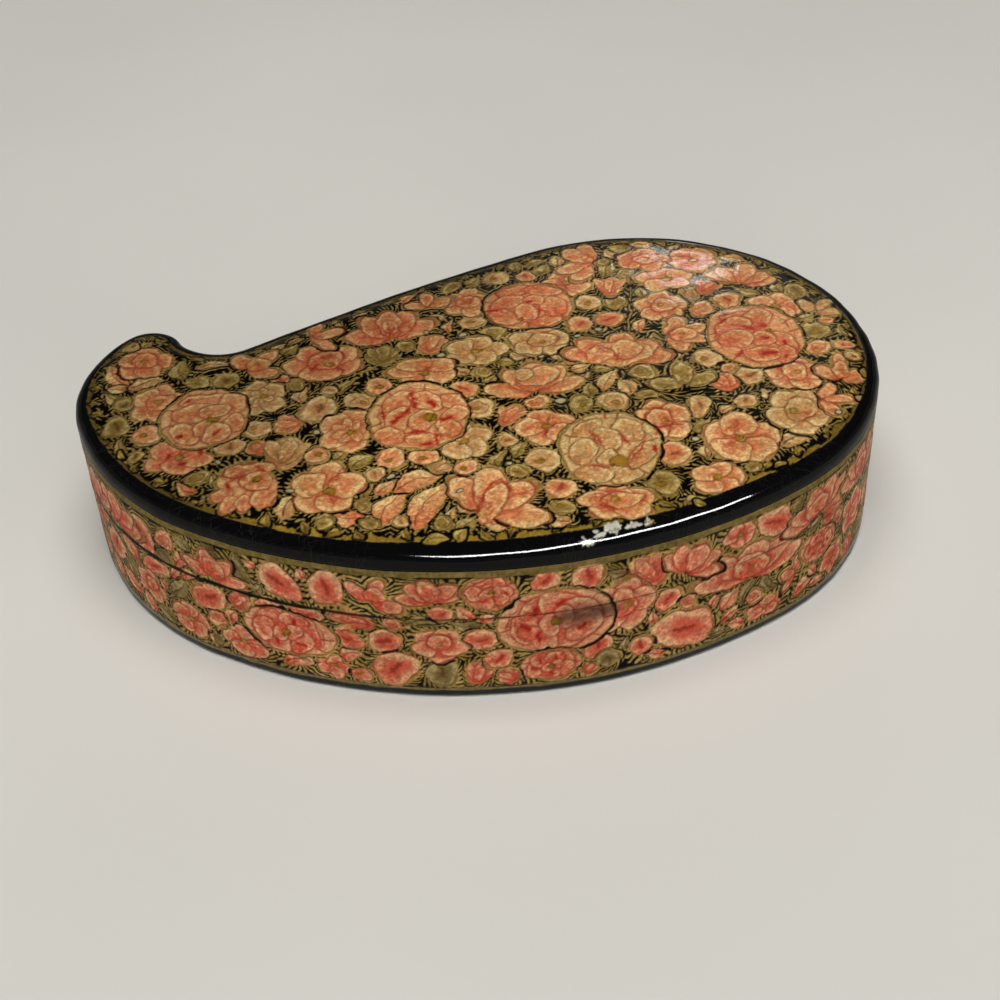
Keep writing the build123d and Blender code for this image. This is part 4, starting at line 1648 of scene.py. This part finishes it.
def effect(name, inputs, outputs):
    """A new node group with value inputs, their defaults, and outputs of the kinds given."""
    tree = bpy.data.node_groups.new(name, "ShaderNodeTree")
    for label, default in inputs:
        socket = tree.interface.new_socket(label, in_out="INPUT", socket_type="NodeSocketFloat")
        socket.default_value = default
    for label in outputs:
        tree.interface.new_socket(label, in_out="OUTPUT", socket_type="NodeSocketFloat")
    nodes = Nodes(tree)
    source, result = nodes.add("NodeGroupInput"), nodes.add("NodeGroupOutput")
    place = nodes.add("ShaderNodeTexCoord").outputs["Object"]
    return tree, nodes, source.outputs, result.inputs, place


def handling_marks():
    """Smudges and fine scratches in varnish that has been handled."""
    tree, nodes, given, result, place = effect(
        "Handling marks", [("Smudge Size", 60.0), ("Scratch Size", 40.0)], ["Smudge", "Scratch"]
    )
    broad = nodes.noise(place, given["Smudge Size"], 4.0, 0.6)
    nodes.put(result["Smudge"], nodes.range(broad, 0.4, 0.72, 0.0, 1.0))
    lines = 0.0
    for stretch in ((1.0, 14.0, 3.0), (11.0, 2.0, 3.0), (6.0, 7.0, 1.0)):
        streak = nodes.noise(place, given["Scratch Size"], 2.0, 0.5, stretch)
        thin = nodes.maths("ABSOLUTE", nodes.maths("SUBTRACT", streak, 0.5))
        lines = nodes.maths("MAXIMUM", lines, nodes.range(thin, 0.0, 0.006, 1.0, 0.0))
    patchy = nodes.range(nodes.noise(place, 33.0, 1.0), 0.5, 0.6, 0.0, 1.0)
    nodes.put(result["Scratch"], nodes.maths("MULTIPLY", lines, patchy))
    return tree


def varnish_skin():
    """The slight waviness and the fine dust nibs of brushed varnish."""
    tree, nodes, given, result, place = effect(
        "Varnish skin", [("Wave", 1.0), ("Grain", 0.4), ("Nibs", 0.4)], ["Height"]
    )
    wave = nodes.maths("MULTIPLY", nodes.noise(place, 220.0, 1.0), given["Wave"])
    grain = nodes.maths("MULTIPLY", nodes.noise(place, 1900.0, 2.0), given["Grain"])
    cells = nodes.add("ShaderNodeTexVoronoi", Vector=place, Scale=420.0, Randomness=1.0)
    nib = nodes.range(cells.outputs["Distance"], 0.06, 0.16, 1.0, 0.0)
    rare = nodes.range(nodes.noise(place, 130.0, 0.0), 0.62, 0.68, 0.0, 1.0)
    nibs = nodes.maths("MULTIPLY", nodes.maths("MULTIPLY", nib, rare), given["Nibs"])
    height = nodes.maths("ADD", nodes.maths("ADD", wave, grain), nibs)
    nodes.put(result["Height"], height)
    return tree


def placed_effect(nodes, builder, name, **values):
    """A node that uses a group, which is built the first time."""
    tree = bpy.data.node_groups.get(name) or builder()
    node = nodes.add("ShaderNodeGroup", node_tree=tree)
    for label, value in values.items():
        nodes.put(node.inputs[label.replace("_", " ")], value)
    return node.outputs


def new_finish(name):
    """A new material, with its nodes, its shader and the places on its object."""
    material = bpy.data.materials.new(name)
    material.use_nodes = True
    nodes = Nodes(material.node_tree)
    place = nodes.add("ShaderNodeTexCoord").outputs["Object"]
    return material, nodes, material.node_tree.nodes["Principled BSDF"], place


def dressed(nodes, shader, values, bump=None):
    """Sets the shader's sockets, and its bump from a strength, a depth in millimetres and a height."""
    for label, value in values.items():
        nodes.put(shader.inputs[label], value)
    if bump:
        strength, depth, height = bump
        node = nodes.add("ShaderNodeBump", Strength=strength, Distance=depth * MM, Height=height)
        nodes.put(shader.inputs["Normal"], node.outputs[0])
        if "Coat Weight" in values:
            nodes.put(shader.inputs["Coat Normal"], node.outputs[0])


def varnished(name, clear=1.0):
    """The finish of the painted pieces: flowers under varnish, which may have worn thin."""
    material, nodes, shader, place = new_finish(name)
    finish = settings("finish")
    marks = placed_effect(nodes, handling_marks, "Handling marks", Smudge_Size=55.0, Scratch_Size=38.0)
    skin = placed_effect(nodes, varnish_skin, "Varnish skin", Wave=1.0, Grain=0.35, Nibs=0.5)
    painting_layer = nodes.add("ShaderNodeAttribute", attribute_name="Paint").outputs["Color"]
    pigment = nodes.range(nodes.noise(place, 3200.0, 2.0, 0.6), 0.3, 0.7, 0.88, 1.08)
    shaded = nodes.mix(1.0, painting_layer, pigment, "MULTIPLY")
    scratched = nodes.maths("MULTIPLY", marks["Scratch"], 0.015)
    values = {
        "Base Color": nodes.mix(scratched, shaded, SCRATCH_GREY),
        "Roughness": nodes.maths("MULTIPLY_ADD", marks["Smudge"], 0.16, finish.paint_roughness),
        "Specular IOR Level": finish.paint_shine,
        "Coat Weight": finish.varnish * clear,
        "Coat Roughness": finish.varnish_roughness,
        "Coat IOR": finish.varnish_ior,
    }
    dressed(nodes, shader, values, bump=(0.55, 0.06, skin["Height"]))
    return material


def side_varnished(name):
    """The finish of the sides, whose varnish hands have worn thin."""
    return varnished(name, settings("finish").side_varnish)


def black_lacquer(name):
    """The plain black lacquer inside the box, worn a little grey where the lid slides."""
    material, nodes, shader, place = new_finish(name)
    finish = settings("finish")
    marks = placed_effect(nodes, handling_marks, "Handling marks", Smudge_Size=70.0, Scratch_Size=60.0)
    skin = placed_effect(nodes, varnish_skin, "Varnish skin", Wave=1.6, Grain=0.8, Nibs=0.8)
    painting_layer = nodes.add("ShaderNodeAttribute", attribute_name="Paint").outputs["Color"]
    rub = nodes.range(nodes.noise(place, 240.0, 4.0, 0.65), 0.52, 0.78, 0.0, 0.22)
    worn = nodes.maths("MAXIMUM", rub, nodes.maths("MULTIPLY", marks["Scratch"], 0.3))
    values = {
        "Base Color": nodes.mix(worn, painting_layer, RUBBED_BLACK),
        "Roughness": nodes.maths("MULTIPLY_ADD", marks["Smudge"], 0.07, finish.black_roughness),
        "Specular IOR Level": finish.black_shine,
    }
    dressed(nodes, shader, values, bump=(0.6, 0.08, skin["Height"]))
    return material


def plain_cloth(name, colour):
    """The pale matt finish of the floor."""
    material, nodes, shader, place = new_finish(name)
    cloudy = nodes.range(nodes.noise(place, 5.0, 2.0), 0.3, 0.7, 0.0, 1.0)
    light = linear(np.array(colour))
    tone = nodes.mix(cloudy, (*light, 1.0), (*(0.93 * light), 1.0))
    dressed(nodes, shader, {"Base Color": tone, "Roughness": 0.85, "Specular IOR Level": 0.2})
    return material


class FinishSettings(PropertyGroup):
    """How glossy the finishes are."""

    varnish: share("Varnish", 0.4, "How much clear varnish lies over the paint")
    varnish_roughness: share("Varnish roughness", 0.07, "How soft reflections in the varnish are")
    side_varnish: share("Side varnish", 0.5, "How much of the varnish is left on the sides")
    paint_roughness: share("Paint roughness", 0.5, "Roughness of the paint under the varnish")
    paint_shine: share("Paint shine", 0.0, "How much the paint itself shines")
    varnish_ior: number("Varnish index", 1.35, "Refractive index of the varnish", min=1)
    black_roughness: share("Black roughness", 0.24, "Roughness of the black lacquer inside")
    black_shine: share("Black shine", 0.25, "How much the black lacquer shines")


class StageSettings(PropertyGroup):
    """The floor, the lamps and the camera."""

    floor: paint("Floor", (212, 209, 201), "Pale floor and sweep")
    floor_radius: length("Floor radius", 1500, "Radius of the flat floor")
    sweep_height: length("Sweep height", 620, "Height of the wall that the floor curves into")
    overhead: number("Overhead lamp", 10.7, "Power of the large soft lamp", unit="POWER")
    front: number("Front lamp", 4.4, "Power of the soft lamp in front", unit="POWER")
    strip: number("Strip", 170, "Power of the tube that shines on the rim", unit="POWER")
    window: number("Window", 0.22, "Power of the lamp behind", unit="POWER")
    world: number("Room light", 0.05, "Strength of the light from all round", min=0)
    glow: number("Glow", 0.85, "Strength of the glow far behind", min=0)
    camera: FloatVectorProperty(
        name="Camera",
        description="Where the camera stands",
        default=(0.00316, -0.24918, 0.20991),
        subtype="TRANSLATION",
    )
    tilt: angle("Tilt", 39.62, "How far the camera looks down")
    roll: angle("Roll", -3.08, "How far the camera leans")
    lens: number("Lens", 59.2, "Focal length on a 36 mm sensor", unit="CAMERA")


# Each lamp's place, target and size in metres.
LAMPS = {
    "Overhead": ((0, -0.15, 1.1), (0, 0, 0), (0.8, 0.8)),
    "Front": ((0, -1.15, 0.55), (0, 0, 0), (1.2, 0.6)),
    "Strip": ((0.38, -0.66, 1.05), (0, 0, 0), (1.3, 0.28)),
    "Window": ((0.2, 1.08, 0.58), (0.03, 0.03, 0.03), (0.09, 0.06)),
}
SENSOR_MM = 36
# The glow in the room: its colour, where it comes from, and how close to that it fades in.
ROOM_COLOUR = (1.0, 0.97, 0.88, 1.0)
GLOW_WAY = (0.17, 0.88, 0.44)
GLOW_FADE = (0.968, 0.997)
# The paintings that are done, by name, each with the outline that it belongs to.
PAINTED = {}


def linked(name, data):
    """A new object that is part of the scene."""
    made = bpy.data.objects.new(name, data)
    bpy.context.scene.collection.objects.link(made)
    return made


def painting(name, painter):
    """One of the two paintings, painted once."""
    if name not in PAINTED:
        outline = Outline()
        PAINTED[name] = outline, painter(outline)
    return PAINTED[name]


def finish_called(name, builder):
    """A material, made the first time."""
    return bpy.data.materials.get(name) or builder(name)


class BuildLid(Operator):
    """Builds the lid: its board with the rolled rim, and its wall"""

    bl_idname = "box.lid"
    bl_label = "Lid"

    def execute(self, context):
        """Builds the two pieces of the lid."""
        material = finish_called("Flowers under varnish", varnished)
        outline, ground = painting("lid", painted_lid)
        board = lid_board(outline, ground, material)
        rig.ride(board, "lid")
        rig.replaces(board, "lid_top")
        _, ground = painting("side", painted_side)
        material = finish_called("Sides under varnish", side_varnished)
        seam, inner = in_mm("shell", "seam"), in_mm("shell", "lid_wall")
        corners = [(inner, SEAM, 0.3), (0, SEAM, seam), (0, BOARD_UNDER, 0.06), (inner, BOARD_UNDER, 0.1)]
        side = wall(outline, "LidWall", corners, ground, material, 0.55)
        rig.ride(side, "lid")
        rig.replaces(side, "lid_wall")
        return {"FINISHED"}


class BuildBase(Operator):
    """Builds the base: its board and its wall"""

    bl_idname = "box.base"
    bl_label = "Base"

    def execute(self, context):
        """Builds the two outer pieces of the base."""
        material = finish_called("Sides under varnish", side_varnished)
        outline, ground = painting("side", painted_side)
        board = base_board(outline, ground, finish_called("Black lacquer", black_lacquer))
        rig.ride(board, "base")
        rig.replaces(board, "base_floor")
        seam, inner = in_mm("shell", "seam"), in_mm("shell", "wall")
        corners = [(inner, FLOOR_TOP, 0.1), (0, FLOOR_TOP, 0.03), (0, SEAM, seam), (inner, SEAM, 0.3)]
        side = wall(outline, "BaseWall", corners, ground, material, 0.35)
        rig.ride(side, "base")
        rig.replaces(side, "base_wall")
        return {"FINISHED"}


class BuildCollar(Operator):
    """Builds the black collar that guides the lid"""

    bl_idname = "box.collar"
    bl_label = "Collar"

    def execute(self, context):
        """Builds the collar."""
        piece = collar(Outline(), finish_called("Black lacquer", black_lacquer))
        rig.ride(piece, "base")
        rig.replaces(piece, "collar")
        return {"FINISHED"}


class BuildStage(Operator):
    """Builds the floor, the lamps and the camera"""

    bl_idname = "box.stage"
    bl_label = "Stage"

    def execute(self, context):
        """Builds everything round the box."""
        stage = settings("stage")
        floor_and_sweep(stage)
        lamps = {name: lamp(name, *spot, getattr(stage, name.lower())) for name, spot in LAMPS.items()}
        lamps["Overhead"].visible_glossy = lamps["Front"].visible_glossy = False
        lamps["Strip"].visible_diffuse = False
        room_light(stage.world, stage.glow)
        context.scene.camera = camera_stood(stage)
        context.scene.view_settings.view_transform = "Standard"
        return {"FINISHED"}


def camera_stood(stage):
    """The camera, looking down and leaning as the stage says."""
    camera = bpy.data.cameras.new("Camera")
    camera.lens = stage.lens
    camera.sensor_width = SENSOR_MM
    camera.clip_start = 0.01
    up, side = Vector((0, np.sin(stage.tilt), np.cos(stage.tilt))), Vector((1, 0, 0))
    right = side * np.cos(stage.roll) + up * np.sin(stage.roll)
    top = up * np.cos(stage.roll) - side * np.sin(stage.roll)
    turn = Matrix((right, top, right.cross(top))).transposed().to_4x4()
    holder = linked("Camera", camera)
    holder.matrix_world = Matrix.Translation(stage.camera) @ turn
    return holder


def floor_and_sweep(stage):
    """A round floor that curves up into a low pale wall all round."""
    radius, height = stage.floor_radius, stage.sweep_height
    bend = 0.35 * height
    turns = np.linspace(0, pi / 2, 12)
    reach = np.concatenate([[0.05, 0.4, 0.8], radius + bend * np.sin(turns), [radius + bend]])
    rise = np.concatenate([[0, 0, 0], bend - bend * np.cos(turns), [height]])
    around = np.linspace(0, 2 * pi, 97)[:-1]
    points = [(0.0, 0.0, 0.0)]
    for r, z in zip(reach, rise):
        points += [(r * np.cos(a), r * np.sin(a), z) for a in around]
    size = len(around)
    faces = [(0, 1 + i, 1 + (i + 1) % size) for i in range(size)]
    for band in range(len(reach) - 1):
        low, high = 1 + band * size, 1 + (band + 1) * size
        faces += [(low + i, high + i, high + (i + 1) % size, low + (i + 1) % size) for i in range(size)]
    mesh = bpy.data.meshes.new("Floor")
    mesh.from_pydata(points, [], faces)
    mesh.polygons.foreach_set("use_smooth", [True] * len(faces))
    mesh.materials.append(plain_cloth("Pale floor", stage.floor))
    floor = linked("Floor", mesh)
    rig.stage(floor)


def lamp(name, place, target, size, power):
    """A rectangular soft lamp that points at a target, with its width level."""
    light = bpy.data.lights.new(name, "AREA")
    light.shape = "RECTANGLE"
    light.size, light.size_y = size
    light.energy = power
    holder = linked(name, light)
    holder.location = place
    holder.rotation_euler = (Vector(target) - Vector(place)).to_track_quat("-Z", "Y").to_euler()
    return holder


def room_light(strength, glow):
    """Even light from all round, which glows a little more far behind the box."""
    world = bpy.data.worlds.new("Room")
    world.use_nodes = True
    background = world.node_tree.nodes["Background"]
    background.inputs["Color"].default_value = ROOM_COLOUR
    nodes = Nodes(world.node_tree)
    way = nodes.add("ShaderNodeTexCoord").outputs["Generated"]
    towards = nodes.add("ShaderNodeVectorMath", operation="DOT_PRODUCT")
    nodes.put(towards.inputs[0], way)
    nodes.put(towards.inputs[1], GLOW_WAY)
    near = nodes.range(towards.outputs["Value"], *GLOW_FADE, strength, strength + glow)
    nodes.put(background.inputs["Strength"], near)
    bpy.context.scene.world = world


class BoxPanel(Panel):
    """The box's steps and sizes"""

    bl_idname = "VIEW3D_PT_box"
    bl_label = "Papier mache box"
    bl_space_type = "VIEW_3D"
    bl_region_type = "UI"
    bl_category = "Box"

    def draw(self, context):
        """Lists the steps and then the properties of each group."""
        layout = self.layout
        for step in STEPS:
            layout.operator(step.bl_idname)
        for name, group in GROUPS.items():
            box = layout.box()
            box.label(text=name.capitalize())
            held = settings(name)
            for field in group.__annotations__:
                box.prop(held, field)


GROUPS = {
    "outline": OutlineSizes,
    "shell": ShellSizes,
    "painting": PaintSizes,
    "colours": PaintColours,
    "finish": FinishSettings,
    "stage": StageSettings,
}
STEPS = (BuildBase, BuildCollar, BuildLid, BuildStage)


def register():
    """Registers the property groups, the steps and the panel."""
    for name, group in GROUPS.items():
        bpy.utils.register_class(group)
        setattr(bpy.types.Scene, "box_" + name, PointerProperty(type=group))
    for step in STEPS:
        bpy.utils.register_class(step)
    bpy.utils.register_class(BoxPanel)


def unregister():
    """Takes back what register added."""
    bpy.utils.unregister_class(BoxPanel)
    for step in reversed(STEPS):
        bpy.utils.unregister_class(step)
    for name, group in reversed(GROUPS.items()):
        delattr(bpy.types.Scene, "box_" + name)
        bpy.utils.unregister_class(group)


def main():
    """Builds the box and its stage, and writes down how large it came out."""
    register()
    bpy.ops.box.base()
    bpy.ops.box.collar()
    bpy.ops.box.lid()
    bpy.ops.box.stage()
    boxes = {
        "cad": [list(corner) for corner in CAD_BOX],
        "visual": [list(corner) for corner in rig.bounds()],
    }
    with open(SIZE_FILE, "w") as file:
        json.dump(boxes, file)


if __name__ == "__main__":
    main()
